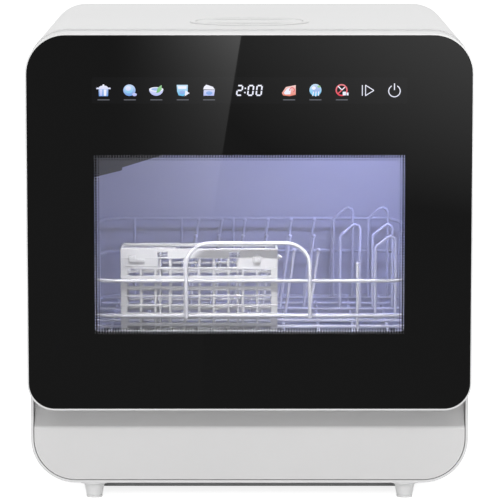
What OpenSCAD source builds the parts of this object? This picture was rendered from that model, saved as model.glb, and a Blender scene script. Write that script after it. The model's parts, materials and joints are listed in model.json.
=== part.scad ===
/* [Overall] */
// Width of the whole machine
overall_w = 420; // [400:1:480]
// Depth from the door's face to the hose spigots' ends
overall_d = 435; // [420:1:520]
// Height of the casing's top above the worktop
overall_h = 454; // [440:1:520]

/* [Casing] */
// Wall of the outer casing
casing_wall = 2.5; // [1.5:0.5:4]
// Height of the casing's underside above the worktop
casing_lift = 17; // [12:1:24]
// Radius of the casing's top edges
casing_top_r = 38; // [20:1:50]
// Radius of the casing's bottom edges
casing_bottom_r = 43; // [30:1:50]
// Width of the lip inside the casing's rear rim
rear_lip_w = 9; // [8:1:14]
// Thickness of the rear panel
rear_panel_t = 4; // [2:0.5:6]
// How far the hose spigots stand out behind the rear panel
spigot_reach = 4.5; // [2:0.5:12]
// Running gap between pieces that lie against each other
seat_gap = 0.3; // [0.1:0.1:0.5]

/* [Door] */
// Depth of the door, front face to back rim
door_depth = 44.5; // [38:0.5:60]
// Gap between the door's back rim and the casing
door_gap = 1; // [0.5:0.5:3]
// Height of the door's lower edge
door_bottom_z = 96; // [90:1:104]
// Gap between the door's upper edge and the casing's top line
door_top_drop = 1.5; // [0.5:0.5:4]
// Radius of the door's lower corners
door_bottom_r = 26; // [16:1:34]
// Thickness of the printed front glass
glass_t = 4; // [3:0.5:6]
// Width of the white rim that shows around the glass
glass_rim = 1.4; // [1:0.1:3]
// Wall of the door's shell
door_wall = 2.5; // [1.5:0.5:4]
// Depth of the door's inner panel, behind the shell's rim
door_recess = 1.5; // [1:0.5:4]
// Width of the window
window_w = 295; // [240:1:300]
// Height of the window's lower edge
window_low_z = 167.5; // [164:0.5:190]
// Height of the window's upper edge
window_high_z = 340; // [300:1:342]
// Corner radius of the window
window_r = 6; // [3:1:14]
// Height of the row of touch icons
icon_z = 400; // [390:1:412]

/* [Hinge and catch] */
// Hinge axis behind the door's front face
hinge_back = 32.5; // [28:0.5:36]
// Hinge axis above the door's lower edge
hinge_up = 8; // [7:0.5:10]
// Radius of a hinge pin
hinge_pin_r = 4; // [3:0.5:5]
// Radial clearance of the hinge pin in its bracket
pin_clearance = 0.05; // [0.02:0.01:0.1]
// Distance of each hinge bracket from the middle
hinge_x = 150; // [130:1:152]
// Thickness of a hinge bracket
bracket_t = 4; // [3:0.5:6]
// Width of the catch's tongue
tongue_w = 24; // [16:1:30]
// Thickness of the catch's tongue
tongue_t = 6; // [5:0.5:8]

/* [Tub] */
// Inner width of the wash tub
tub_w = 350; // [330:1:356]
// Height of the tub's floor
tub_floor_z = 125; // [122:1:130]
// Height of the tub's ceiling, inside
tub_top_z = 372; // [360:1:376]
// Wall of the tub
tub_wall = 2; // [1.5:0.5:3]
// Clear depth between the tub's back and the rear panel
rear_space = 42; // [40:1:60]
// Radius of the tub's long inner edges
tub_r = 15; // [8:1:24]

/* [Rack and basket] */
// Radius of the rack's rim wires
rim_wire_r = 1.75; // [1.25:0.25:2.5]
// Radius of the rack's floor wires and tines
thin_wire_r = 1.4; // [1:0.1:2]
// Height of the rack's lowest wires
rack_low_z = 152; // [151:0.5:156]
// Height of the front rim wire
front_rim_z = 210; // [200:1:220]
// Height of the rear rim wire
rear_rim_z = 234; // [215:1:245]
// Spacing of the plate tines
tine_pitch = 24; // [20:0.1:30]
// Sideways lean of the plate tines, in degrees
tine_lean = 8; // [0:1:12]
// Width of the cutlery basket
basket_w = 151; // [120:1:156]
// Depth of the cutlery basket
basket_d = 42; // [34:1:50]
// Height of the cutlery basket's rim
basket_top_z = 241; // [220:1:250]

/* [Filler and tank] */
// Radius of the filler's white ring on the casing's top
filler_r = 58.5; // [52:0.5:64]
// Distance of the filler's centre behind the casing's front
filler_back = 97; // [80:1:110]
// Radius of the funnel's neck
funnel_neck_r = 26; // [20:1:30]
// Depth of the water tank, front to back
tank_d = 268; // [200:1:272]
// Gap between the casing's top and the tank, for the funnel
tank_drop = 16; // [14:1:24]
// Wall of the water tank
tank_wall = 3; // [2:0.5:4]

/* [Feet and base] */
// Width of the base pan
pan_w = 324; // [300:1:330]
// Height of the base pan's underside
pan_low_z = 5.5; // [4:0.5:9]
// Wall of the base pan
pan_wall = 2.5; // [2:0.5:4]
// Distance of each foot from the middle
foot_x = 150; // [120:1:156]
// Radius of a foot at its sole
foot_sole_r = 7.7; // [6:0.1:12]
// Radius of a foot at its flange
foot_flange_r = 18; // [14:0.5:19]

/* [Hidden] */
$fn = 96;
eps = 0.01;
big = 1000;

// Main planes
half_w = overall_w / 2;
front_y = -overall_d / 2;
back_y = overall_d / 2;
casing_front_y = front_y + door_depth + door_gap;
panel_out_y = back_y - spigot_reach;
panel_in_y = panel_out_y - rear_panel_t;
rear_lip_t = 2.5;
flange_t = 3;
tub_front_y = casing_front_y + flange_t;
tub_back_y = panel_in_y - rear_space;
tub_mid_y = (tub_front_y + tub_back_y) / 2;
tub_half = tub_w / 2;
tub_under_z = tub_floor_z - tub_wall;
tub_roof_z = tub_top_z + tub_wall;
flange_low_z = 106;

// Hinge line
hinge_y = front_y + hinge_back;
hinge_z = door_bottom_z + hinge_up;
door_back_y = front_y + door_depth;
inner_y = door_back_y - door_recess;
door_top_z = overall_h - door_top_drop;
skirt_r = door_depth - hinge_up - 1.5;
notch_half = bracket_t / 2 + 3;
ear_t = 10;

// Window
pane_lap = 8;
pane_t = 3;
seal_t = 1.5;

// Detergent cup
cup_x = 65;
cup_w = 90;
cup_low_z = tub_floor_z + 6;
cup_high_z = window_low_z - pane_lap - 2;

// Rack
rack_front_y = tub_front_y + 19;
rack_back_y = tub_back_y - 25;
rack_half = tub_half - 17;
rack_depth = rack_back_y - rack_front_y;
rim_tilt = atan((rear_rim_z - front_rim_z) / rack_depth);
rack_mid_y = (rack_front_y + rack_back_y) / 2;
rim_corner = 26;
mid_drop = 34;
handle_x = -1.5;
handle_y = rack_front_y - 2 * rim_wire_r - 0.1;
handle_w = 119;
handle_corner = 23;
handle_top_z = 247;
handle_low_z = front_rim_z - mid_drop - rim_wire_r;
row_pitch = 38;
cross_z = rack_low_z + 2 * thin_wire_r + 0.1;
basket_x = -48.5;
basket_front_y = rack_front_y + rim_wire_r + 0.6;
basket_low_z = cross_z + thin_wire_r + seat_gap;
basket_wall = 2;

// Base, wash water and spray
pan_front_y = casing_front_y + 40;
pan_back_y = panel_in_y - 59;
pan_h = 24;
foot_front_y = casing_front_y + foot_flange_r + 0.5;
foot_back_y = panel_in_y - 29;
hub_y = tub_mid_y;
arm_reach = tub_half - 28;
arm_z = tub_floor_z + 8;
upper_reach = 91;
sump_x = 90;
sump_y = hub_y + 85;
sump_r = 40;
pump_y = hub_y + 72;
pump_z = 50;
pipe_r = 9;
pipe_z = 103;
pipe_back_y = tub_back_y + tub_wall + 17;
upper_feed_z = tub_top_z - 9;
upper_arm_z = tub_top_z - 28;

// Tank and filler
filler_y = casing_front_y + filler_back;
tank_front_y = casing_front_y + 38;
tank_low_z = tub_roof_z + 4;
tank_high_z = overall_h - casing_wall - tank_drop;
tank_half = half_w - 25;
neck_hole_r = funnel_neck_r + 4;

float_x = -130;
float_y = tank_front_y + 60;
float_stem_r = 3;
float_h = 16;

// Catch
tongue_z = 392;
tongue_back_y = casing_front_y + 14;
catch_depth = 30;
catch_wall = 3;
plunger_y = tongue_back_y + seat_gap;
plunger_l = 10.7;
plunger_r = 3.5;
plunger_z = tongue_z + tongue_t / 2;
magnet_z = tongue_z + tongue_t + 3.5;

// Rear services
service_z = pump_z;
drain_bend = 14;
drain_x = sump_x - 42 - drain_bend;
inlet_x = 127;
service_x = (drain_x + inlet_x) / 2;
service_w = inlet_x - drain_x + 44;
feed_x = 85;
feed_low_z = 92;
gland_x = -150;
fan_x = -60;
fan_z = 285;
fan_r = 38;
duct_z = 330;
duct_h = 30;

// Plain helpers ----------------------------------------------------------

// Rounded rectangle with its own lower and upper corner radius
module plate2d(w, low, high, r_low, r_high) {
    translate([-w / 2 + r_low, low]) square([w - 2 * r_low, r_low + eps]);
    translate([-w / 2, low + r_low]) square([w, high - low - r_low - r_high]);
    translate([-w / 2 + r_high, high - r_high - eps]) square([w - 2 * r_high, r_high + eps]);
    for (side = [-1, 1]) {
        translate([side * (w / 2 - r_low), low + r_low]) circle(r_low);
        translate([side * (w / 2 - r_high), high - r_high]) circle(r_high);
    }
}

// Outline drawn in X and Z, made solid from y0 to y1
module slab(y0, y1) {
    translate([0, y1, 0]) rotate([90, 0, 0]) linear_extrude(y1 - y0) children();
}

// Outline drawn in Y and Z, made solid from x0 to x1
module bar(x0, x1) {
    translate([x0, 0, 0]) rotate([90, 0, 90]) linear_extrude(x1 - x0) children();
}

// Outline drawn in X and Y, made solid from z0 to z1
module sheet(z0, z1) {
    translate([0, 0, z0]) linear_extrude(z1 - z0) children();
}

// Box between two corners
module block(low, high) {
    translate(low) cube(high - low);
}

// Cylinders along each axis, from a start point
module along_x(x0, x1, y, z, r) {
    translate([x0, y, z]) rotate([0, 90, 0]) cylinder(h = x1 - x0, r = r);
}

module along_y(y0, y1, x, z, r) {
    translate([x, y0, z]) rotate([-90, 0, 0]) cylinder(h = y1 - y0, r = r);
}

module along_z(z0, z1, x, y, r) {
    translate([x, y, z0]) cylinder(h = z1 - z0, r = r);
}

// Round wire that starts along +Z and bends towards +X:
// each leg is [length, bend angle, bend radius]
module bent_wire(legs, r, i = 0) {
    cylinder(h = legs[i][0], r = r);
    if (i < len(legs) - 1) {
        bend = legs[i][1];
        bend_r = legs[i][2];
        translate([bend_r, 0, legs[i][0]]) {
            mirror([1, 0, 0]) rotate([90, 0, 0])
                rotate_extrude(angle = bend) translate([bend_r, 0]) circle(r, $fn = 32);
            translate([-bend_r * cos(bend), 0, bend_r * sin(bend)])
                rotate([0, bend, 0]) bent_wire(legs, r, i + 1);
        }
    }
}

// The four straight sides of a rectangular wire loop, flat in X and Y
module loop_sides(w, d, corner, r) {
    for (side = [-1, 1]) {
        along_x(-w / 2 + corner, w / 2 - corner, side * d / 2, 0, r);
        along_y(-d / 2 + corner, d / 2 - corner, side * w / 2, 0, r);
    }
}

// The four bends between those sides
module loop_bends(w, d, corner, r) {
    for (quarter = [0:3]) {
        sx = quarter == 0 || quarter == 3 ? 1 : -1;
        sy = quarter < 2 ? 1 : -1;
        translate([sx * (w / 2 - corner), sy * (d / 2 - corner), 0]) rotate([0, 0, quarter * 90])
            rotate_extrude(angle = 90) translate([corner, 0]) circle(r, $fn = 32);
    }
}

module casing2d(inset) {
    plate2d(overall_w - 2 * inset, casing_lift + inset, overall_h - inset,
            casing_bottom_r - inset, casing_top_r - inset);
}

module door2d(inset) {
    plate2d(overall_w - 2 * inset, door_bottom_z + inset, door_top_z - inset,
            door_bottom_r - inset, casing_top_r - inset);
}

module window2d(extra) {
    plate2d(window_w + 2 * extra, window_low_z - extra, window_high_z + extra,
            window_r + extra, window_r + extra);
}

module tub2d(extra) {
    plate2d(tub_w + 2 * extra, tub_floor_z - extra, tub_top_z + extra, tub_r + extra, tub_r + extra);
}

module pan2d(extra) {
    r = 16 + extra;
    y_low = pan_front_y - extra;
    y_high = pan_back_y + extra;
    plate2d(pan_w + 2 * extra, y_low, y_high, r, r);
}

// Outer shells -----------------------------------------------------------

module outer_casing() {
    color("whitesmoke") difference() {
        union() {
            difference() {
                slab(casing_front_y, panel_in_y) casing2d(0);
                slab(casing_front_y - 1, panel_in_y + 1) casing2d(casing_wall);
            }
            difference() {
                slab(panel_in_y - rear_lip_t, panel_in_y) casing2d(casing_wall - 0.5);
                slab(panel_in_y - 4, panel_in_y + 1) casing2d(casing_wall + rear_lip_w);
            }
        }
        sheet(0, casing_lift + 10) pan2d(seat_gap);
        along_z(overall_h - 8, overall_h + 5, 0, filler_y, filler_r - 4);
        for (side = [-1, 1], y = [foot_front_y, foot_back_y])
            along_z(0, casing_lift + 10, side * foot_x, y, 4.2);
        screw_places() along_y(panel_in_y - 5, panel_in_y + 1, 0, 0, 1.9);
    }
}

// Puts its children at the six screws of the rear panel
module screw_places() {
    edge = casing_wall + rear_lip_w / 2;
    for (side = [-1, 1], z = [110, 240, 380])
        translate([side * (half_w - edge), 0, z]) children();
}

module rear_panel() {
    color("whitesmoke") difference() {
        slab(panel_in_y, panel_out_y) casing2d(0);
        block([service_x - service_w / 2, panel_in_y - 1, service_z - 24],
              [service_x + service_w / 2, back_y, service_z + 24]);
        along_y(panel_in_y - 1, back_y, gland_x, service_z, 8.1);
        for (column = [-3:3], row = [-3:3])
            block([fan_x + column * 11 - 4, panel_in_y - 1, fan_z + row * 10 - 1.5],
                  [fan_x + column * 11 + 4, back_y, fan_z + row * 10 + 1.5]);
        for (column = [-5:5], row = [0:3])
            block([column * 18 - 6, panel_in_y - 1, 395 + row * 9],
                  [column * 18 + 6, back_y, 398 + row * 9]);
        screw_places() along_y(panel_in_y - 5, back_y, 0, 0, 2);
    }
}

module case_screws() {
    color("silver") screw_places() {
        along_y(panel_in_y - 6, panel_out_y, 0, 0, 1.7);
        difference() {
            along_y(panel_out_y, panel_out_y + 2.2, 0, 0, 3.8);
            for (turn = [0, 90]) translate([0, panel_out_y + 1.5, 0]) rotate([0, turn, 0])
                cube([4, 2, 0.9], center = true);
        }
    }
}

// Lower front cover: a flat front and a hollow that the door's foot turns into
module front_skirt() {
    color("gainsboro") difference() {
        intersection() {
            bar(-half_w, half_w) skirt2d();
            slab(casing_front_y - 1, casing_front_y + 60) casing2d(casing_wall + 0.7);
        }
        for (side = [-1, 1]) {
            x = side * hinge_x;
            block([x - notch_half, casing_front_y - 5, hinge_z - 16],
                  [x + notch_half, casing_front_y + 50, hinge_z + 12]);
        }
    }
}

module skirt2d() {
    wall = 2.5;
    low = casing_lift + casing_wall + 0.6;
    top = flange_low_z - seat_gap;
    arc_z = hinge_z - sqrt(pow(skirt_r, 2) - pow(casing_front_y - hinge_y, 2));
    difference() {
        union() {
            translate([casing_front_y, low]) square([wall, arc_z - low + 3]);
            intersection() {
                translate([hinge_y, hinge_z]) circle(skirt_r + wall);
                translate([casing_front_y, arc_z - 2]) square([40, top - arc_z + 2]);
            }
        }
        translate([hinge_y, hinge_z]) circle(skirt_r);
    }
}

module base_pan() {
    lip_z = casing_lift + casing_wall;
    color("darkgray") difference() {
        union() {
            sheet(pan_low_z, pan_low_z + pan_h) pan2d(0);
            sheet(lip_z, lip_z + 2) pan2d(5);
        }
        sheet(pan_low_z + pan_wall, pan_low_z + 60) pan2d(-pan_wall);
        for (column = [-4:4], row = [-1, 1])
            translate([column * 16, (pan_front_y + pan_back_y) / 2 + row * 100, 0])
                along_z(0, 20, 0, 0, 3);
    }
}

module feet() {
    top = casing_lift;
    color("lightgray") foot_places() {
        difference() {
            rotate_extrude() polygon([
                [0, 2], [foot_sole_r, 2], [foot_sole_r + 1.6, 11], [foot_sole_r + 3.4, 14],
                [foot_flange_r, 15.5], [foot_flange_r, top], [0, top]
            ]);
            along_z(0, 5, 0, 0, 3.05);
        }
        along_z(top - eps, top + 7, 0, 0, 4);
    }
}

module foot_places() {
    for (side = [-1, 1], y = [foot_front_y, foot_back_y]) translate([side * foot_x, y, 0]) children();
}

module foot_pads() {
    color("dimgray") foot_places() {
        cylinder(h = 2, r = foot_sole_r);
        along_z(1, 4.8, 0, 0, 3);
    }
}

// Filler and tank --------------------------------------------------------

module filler_funnel() {
    ledge_z = overall_h - 9;
    color("white") translate([0, filler_y, 0]) rotate_extrude() polygon([
        [filler_r - 6, overall_h + 1.2], [filler_r - 0.8, overall_h + 1.2], [filler_r, overall_h],
        [filler_r - 4.4, overall_h], [filler_r - 4.4, ledge_z - 3],
        [funnel_neck_r + 2, tank_high_z + 2], [funnel_neck_r + 2, tank_high_z - 12],
        [funnel_neck_r, tank_high_z - 12], [funnel_neck_r, tank_high_z + 4.5],
        [filler_r - 9, ledge_z], [filler_r - 6, ledge_z]
    ]);
}

module filler_seal() {
    color("dimgray") translate([0, filler_y, 0]) difference() {
        along_z(tank_high_z - tank_wall, tank_high_z, 0, 0, neck_hole_r);
        along_z(tank_high_z - 9, tank_high_z + 2, 0, 0, funnel_neck_r + 2);
    }
}

module filler_lid() {
    lid_r = filler_r - 6.4;
    lid_low = overall_h - 9 + seat_gap;
    grip_w = 29;
    color("white") translate([0, filler_y, 0]) {
        difference() {
            along_z(lid_low, overall_h + 0.8, 0, 0, lid_r);
            for (side = [-1, 1]) intersection() {
                along_z(lid_low + 2, overall_h + 5, 0, 0, lid_r - 7);
                translate([0, side * (grip_w / 2 + 40), overall_h]) cube([200, 80, 40], center = true);
            }
        }
    }
}

module water_tank() {
    color("aliceblue") {
        difference() {
            sheet(tank_low_z, tank_high_z) tank2d(0);
            sheet(tank_low_z + tank_wall, tank_high_z - tank_wall) tank2d(-tank_wall);
            along_z(tank_high_z - 5, tank_high_z + 5, 0, filler_y, neck_hole_r + 0.02);
            along_y(tank_front_y + tank_d - 5, tank_front_y + tank_d + 5, inlet_x, tank_high_z - 16, 6.1);
            along_y(tank_front_y + tank_d - 5, tank_front_y + tank_d + 5, feed_x, tank_low_z + 14, 8.1);
        }
        along_z(tank_low_z + tank_wall - eps, tank_high_z - tank_wall + eps,
                float_x, float_y, float_stem_r);
        for (side = [-1, 0, 1])
            block([side * 140 - 12, tank_front_y + 15, tub_roof_z],
                  [side * 140 + 12, tank_front_y + tank_d - 15, tank_low_z]);
    }
}

module tank2d(extra) {
    plate2d(2 * (tank_half + extra), tank_front_y - extra, tank_front_y + tank_d + extra,
            14 + extra, 14 + extra);
}

// Float that rides up a stem in the tank
module tank_float() {
    low = tank_low_z + tank_wall + seat_gap;
    color("lightblue") difference() {
        along_z(low, low + float_h, float_x, float_y, 14);
        along_z(low - 1, low + float_h + 1, float_x, float_y, float_stem_r + seat_gap);
    }
}

// Tub --------------------------------------------------------------------

module tub() {
    color("white") difference() {
        union() {
            slab(tub_front_y - eps, tub_back_y + tub_wall) tub2d(tub_wall);
            slab(casing_front_y, tub_front_y) intersection() {
                casing2d(casing_wall + seat_gap);
                translate([-half_w, flange_low_z]) square([overall_w, overall_h]);
            }
        }
        slab(casing_front_y - 1, tub_back_y) tub2d(0);
        along_z(tub_under_z - 1, tub_floor_z + 1, sump_x, sump_y, sump_r - 3);
        along_z(tub_under_z - 1, tub_floor_z + 1, 0, hub_y, 8.1);
        along_y(tub_back_y - 1, tub_back_y + 5, 0, upper_feed_z, 7.1);
        block([-tub_half - 5, hub_y - 79, duct_z - 11], [-tub_half + 5, hub_y - 47, duct_z + 11]);
        block([-tongue_w / 2 - 3, casing_front_y - 1, tongue_z - 5],
              [tongue_w / 2 + 3, tub_front_y + 1, tongue_z + tongue_t + 5]);
    }
}

// Soft seal around the tub's mouth
module tub_gasket() {
    lap = 10;
    color("gray") difference() {
        slab(inner_y + seat_gap, casing_front_y) tub2d(lap);
        slab(inner_y - 1, casing_front_y + 1) tub2d(3);
    }
}

// A ledge on each side wall that carries the rack's glides
module rack_rails() {
    color("white") for (side = [-1, 1]) {
        x_in = tub_half - 14;
        x_low = side < 0 ? -tub_half : x_in;
        block([x_low, tub_front_y + 4, rack_low_z - 6], [x_low + 14, tub_back_y - 6, rack_low_z - 2]);
    }
}

module interior_lamp() {
    color("lavender") translate([0, tub_front_y + 45, 0]) {
        along_z(tub_top_z - 5, tub_top_z, 0, 0, 16);
        along_z(tub_top_z - 8, tub_top_z - 5, 0, 0, 12);
    }
}

// Grey air guide in the tub's upper left corner, with a sloping underside
module air_outlet() {
    low = 297;
    step_x = 50.5;
    reach = 88;
    y0 = hub_y - 85;
    x0 = -tub_half;
    color("gray") difference() {
        slab(y0, y0 + 44) intersection() {
            tub2d(-seat_gap);
            polygon([
                [x0, low], [x0 + step_x, low + 12.8], [x0 + step_x, low + 15.5],
                [x0 + reach, low + 27], [x0 + reach, tub_top_z], [x0, tub_top_z]
            ]);
        }
        block([x0 - 5, y0 + 6, duct_z - 11], [x0 + 60, y0 + 38, duct_z + 11]);
        for (slot = [0:5])
            block([x0 + 10 + slot * 8, y0 + 10, low - 5], [x0 + 14 + slot * 8, y0 + 34, duct_z]);
    }
}

// Water path -------------------------------------------------------------

module sump() {
    low = 30;
    color("silver") difference() {
        union() {
            along_z(low, tub_under_z, sump_x, sump_y, sump_r);
            along_z(tub_under_z - 4, tub_under_z, sump_x, sump_y, sump_r + 7);
        }
        along_z(low + 3, big, sump_x, sump_y, sump_r - 3);
        along_x(sump_x - sump_r - 5, sump_x - 20, pump_y, pump_z, 9);
        along_y(sump_y + 20, sump_y + sump_r + 5, sump_x, pump_z, 12);
    }
}

module flat_filter() {
    color("silver") translate([sump_x, sump_y, 0]) difference() {
        along_z(tub_floor_z, tub_floor_z + 1.5, 0, 0, sump_r + 12);
        along_z(0, big, 0, 0, 25.5);
        for (ring = [0, 1], spot = [0:17]) rotate([0, 0, spot * 20 + ring * 10])
            along_z(tub_floor_z - 1, tub_floor_z + 3, 31 + ring * 12, 0, 1.8);
    }
}

module filter_cup() {
    low = 70;
    top = tub_floor_z + 1.5 + seat_gap;
    color("lightsteelblue") translate([sump_x, sump_y, 0]) difference() {
        union() {
            along_z(low, top + 1, 0, 0, 24);
            along_z(top, top + 2, 0, 0, 29);
        }
        along_z(low + 2, big, 0, 0, 22);
        for (slot = [0:7]) rotate([0, 0, slot * 45])
            block([15, -4, low + 10], [30, 4, low + 40]);
    }
}

module circulation_pump() {
    color("dimgray") difference() {
        union() {
            along_x(-15, 15, pump_y, pump_z, 36);
            along_x(-80, -15 + eps, pump_y, pump_z, 28);
            along_x(15 - eps, sump_x - sump_r + 1, pump_y, pump_z, 8.7);
            along_z(pump_z + 30, pipe_z - pipe_r - seat_gap, 0, pump_y, 7);
            for (x = [-70, -24])
                block([x - 4, pump_y - 30, pan_low_z + pan_wall], [x + 4, pump_y + 30, pump_z - 8]);
        }
        along_x(-12, 12, pump_y, pump_z, 33);
        along_x(11, big, pump_y, pump_z, 6);
    }
    color("silver") along_x(-12 - eps, -4, pump_y, pump_z, 3 - pin_clearance);
}

module pump_impeller() {
    color("white") difference() {
        union() {
            along_x(-9, -6, pump_y, pump_z, 29);
            along_x(-7, 8, pump_y, pump_z, 7);
            for (blade = [0:5]) translate([0, pump_y, pump_z]) rotate([blade * 60, 0, 0])
                block([-7, -1.2, 5], [7, 1.2, 27]);
        }
        along_x(-12, -3, pump_y, pump_z, 3);
    }
}

module drain_pump() {
    y0 = sump_y + sump_r - 1;
    color("dimgray") difference() {
        union() {
            along_y(y0, y0 + 4, sump_x, pump_z, 11.8);
            along_y(y0 + 4 - eps, y0 + 24, sump_x, pump_z, 25);
            along_y(y0 + 24 - eps, y0 + 58, sump_x, pump_z, 19);
            along_x(sump_x - 40, sump_x - 20, y0 + 14, pump_z, 7);
        }
        along_y(y0 + 7, y0 + 21, sump_x, pump_z, 22);
        along_y(y0 - 1, y0 + 8, sump_x, pump_z, 8);
        along_x(sump_x - 41, sump_x - 15, y0 + 14, pump_z, 4.5);
    }
    color("silver") along_y(y0 + 12, y0 + 21 + eps, sump_x, pump_z, 2);
}

module drain_impeller() {
    y0 = sump_y + sump_r + 8;
    color("white") difference() {
        union() {
            along_y(y0, y0 + 10, sump_x, pump_z, 5);
            for (blade = [0:3]) translate([sump_x, 0, pump_z]) rotate([0, blade * 90, 0])
                block([4, y0, -1.2], [18, y0 + 10, 1.2]);
        }
        along_y(y0 - 1, y0 + 11, sump_x, pump_z, 2 + pin_clearance);
    }
}

// Heated sleeve around the pipe that feeds the spray arms
module water_heater() {
    y0 = pump_y + 24;
    color("silver") difference() {
        along_y(y0, y0 + 44, 0, pipe_z, 16);
        along_y(y0 - 1, y0 + 45, 0, pipe_z, pipe_r + 0.1);
    }
}

// Pipe from the pump to both spray arms: under the tub, up its back and in below the ceiling
module spray_pipe() {
    bend = 16;
    rise = upper_feed_z - pipe_z - 2 * bend;
    color("whitesmoke") {
        difference() {
            union() {
                translate([0, hub_y - 12, pipe_z]) rotate([-90, 0, 0])
                    cylinder(h = pipe_back_y - bend - hub_y + 12, r = pipe_r);
                along_z(pipe_z, tub_floor_z, 0, hub_y, 8);
            }
            along_y(hub_y - 8, pipe_back_y - bend - 6, 0, pipe_z, 5.5);
            along_z(pipe_z, tub_floor_z + 1, 0, hub_y, 5);
        }
        translate([0, pipe_back_y - bend, pipe_z]) rotate([0, -90, 0]) rotate([-90, 0, 0])
            bent_wire([[eps, 90, bend], [rise, 90, bend], [pipe_back_y - bend - tub_back_y, 0, 0]], 7);
    }
}

module lower_arm_hub() {
    color("silver") translate([0, hub_y, 0]) difference() {
        union() {
            along_z(tub_floor_z, tub_floor_z + 2, 0, 0, 20);
            along_z(tub_floor_z, arm_z - seat_gap, 0, 0, 12);
            along_z(tub_floor_z, arm_z + 13, 0, 0, 6);
        }
        along_z(0, arm_z + 8, 0, 0, 4);
    }
}

// One blade of a spray arm, from the middle towards +X
module blade2d(reach, root, tip) {
    polygon([[0, -root], [reach - tip, -tip], [reach - tip, tip], [0, root]]);
    translate([reach - tip, 0]) circle(tip - 0.05);
}

module spray_arm(z0, t, bore, reach) {
    holes = 4;
    step = (reach - 52) / holes;
    difference() {
        union() {
            sheet(z0 + 1, z0 + t - 2) {
                blade2d(reach, 18, 12);
                mirror([1, 0]) blade2d(reach, 18, 12);
            }
            along_z(z0, z0 + t, 0, 0, 21);
        }
        along_z(z0 - 1, z0 + t + 1, 0, 0, bore);
        for (side = [-1, 1], spot = [0:holes])
            along_z(z0 + t - 5, z0 + t, side * (36 + spot * step), side * (spot % 2 == 0 ? 5 : -5), 1.6);
    }
}

module lower_spray_arm() {
    color("lightgray") translate([0, hub_y, 0]) spray_arm(arm_z, 12, 6 + 0.06, arm_reach);
}

module upper_arm_hub() {
    low = upper_arm_z - 2;
    color("silver") {
        translate([0, hub_y, 0]) {
            along_z(upper_arm_z + 11 + seat_gap, tub_top_z, 0, 0, 12);
            along_z(low - 2, upper_arm_z + 20, 0, 0, 5);
            along_z(low - 3, low + 2 - seat_gap, 0, 0, 9);
        }
        along_y(hub_y + 8, tub_back_y - seat_gap, 0, upper_feed_z, 7);
    }
}

module upper_spray_arm() {
    t = 11;
    color("lightgray") translate([0, hub_y, 2 * upper_arm_z + t]) rotate([0, 0, 35]) rotate([180, 0, 0])
        spray_arm(upper_arm_z, t, 5 + 0.06, upper_reach);
}

// Rear services ----------------------------------------------------------

module drain_spigot() {
    y0 = panel_in_y - 20;
    color("dimgray") difference() {
        union() {
            along_y(y0, back_y, drain_x, service_z, 8);
            along_y(y0, y0 + 5, drain_x, service_z, 14);
            block([drain_x - 5, y0, casing_lift + casing_wall], [drain_x + 5, y0 + 5, service_z - 6]);
        }
        along_y(y0 - 1, back_y + 1, drain_x, service_z, 5.5);
    }
}

module inlet_valve() {
    y0 = panel_in_y - 36;
    color("whitesmoke") difference() {
        union() {
            block([inlet_x - 16, y0, service_z - 16], [inlet_x + 16, y0 + 24, service_z + 16]);
            along_y(y0 + 20, back_y, inlet_x, service_z, 13.2);
            along_z(service_z + 15, service_z + 34, inlet_x, y0 + 12, 6);
            along_z(casing_lift + casing_wall, service_z - 15, inlet_x, y0 + 12, 9);
        }
        along_y(y0 + 22, back_y + 1, inlet_x, service_z, 9.5);
    }
}

// Hose from the inlet valve up to the tank
module supply_hose() {
    y0 = panel_in_y - 24;
    z0 = service_z + 34;
    z1 = tank_high_z - 16;
    bend = 20;
    color("lightgray") translate([inlet_x, y0, z0]) rotate([0, 0, -90])
        bent_wire([[z1 - z0 - bend, 90, bend], [y0 - bend - tank_front_y - tank_d + 2, 0, 0]], 6);
}

// Hose from the tank, down behind the tub and forward to the sump
module feed_hose() {
    y0 = tank_front_y + tank_d - 2;
    y1 = panel_in_y - 22;
    z0 = tank_low_z + 14;
    bend = 18;
    color("lightgray") translate([feed_x, y0, z0]) rotate([0, 90, 0]) rotate([-90, 0, 0])
        bent_wire([[y1 - y0 - bend, 90, bend], [z0 - feed_low_z - 2 * bend, 90, bend],
                   [y1 - bend - sump_y - sump_r, 0, 0]], 8);
}

// Hose from the drain pump's outlet round to the spigot
module drain_hose() {
    y0 = sump_y + sump_r + 13;
    y1 = panel_in_y - 20;
    color("gray") translate([sump_x - 40, y0, pump_z]) rotate([-90, 0, 0]) rotate([0, -90, 0])
        bent_wire([[2, 90, drain_bend], [y1 - y0 - drain_bend, 0, 0]], 7);
}

module pressure_switch() {
    y0 = pan_front_y + 40;
    color("beige") translate([-100, y0, 0]) {
        along_z(pan_low_z + pan_wall, 30, 0, 0, 24);
        along_z(30 - eps, 42, 0, 0, 12);
    }
}

// Drying air -------------------------------------------------------------

module fan_housing() {
    y0 = panel_in_y - 32;
    y1 = panel_in_y - seat_gap;
    duct_y1 = panel_in_y - rear_lip_t - seat_gap;
    color("dimgray") difference() {
        union() {
            along_y(y0, y1, fan_x, fan_z, fan_r + 5);
            block([fan_x - 75, y0, duct_z - duct_h / 2], [fan_x, duct_y1, duct_z + duct_h / 2]);
            along_y(tub_back_y + tub_wall, y0 + 1, fan_x, fan_z, 10);
        }
        along_y(y0 + 2, y1 + 1, fan_x, fan_z, fan_r + 2);
        block([fan_x - 76, y0 + 3, duct_z - duct_h / 2 + 2],
                  [fan_x - 10, duct_y1 - 3, duct_z + duct_h / 2 - 2]);
    }
}

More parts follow.
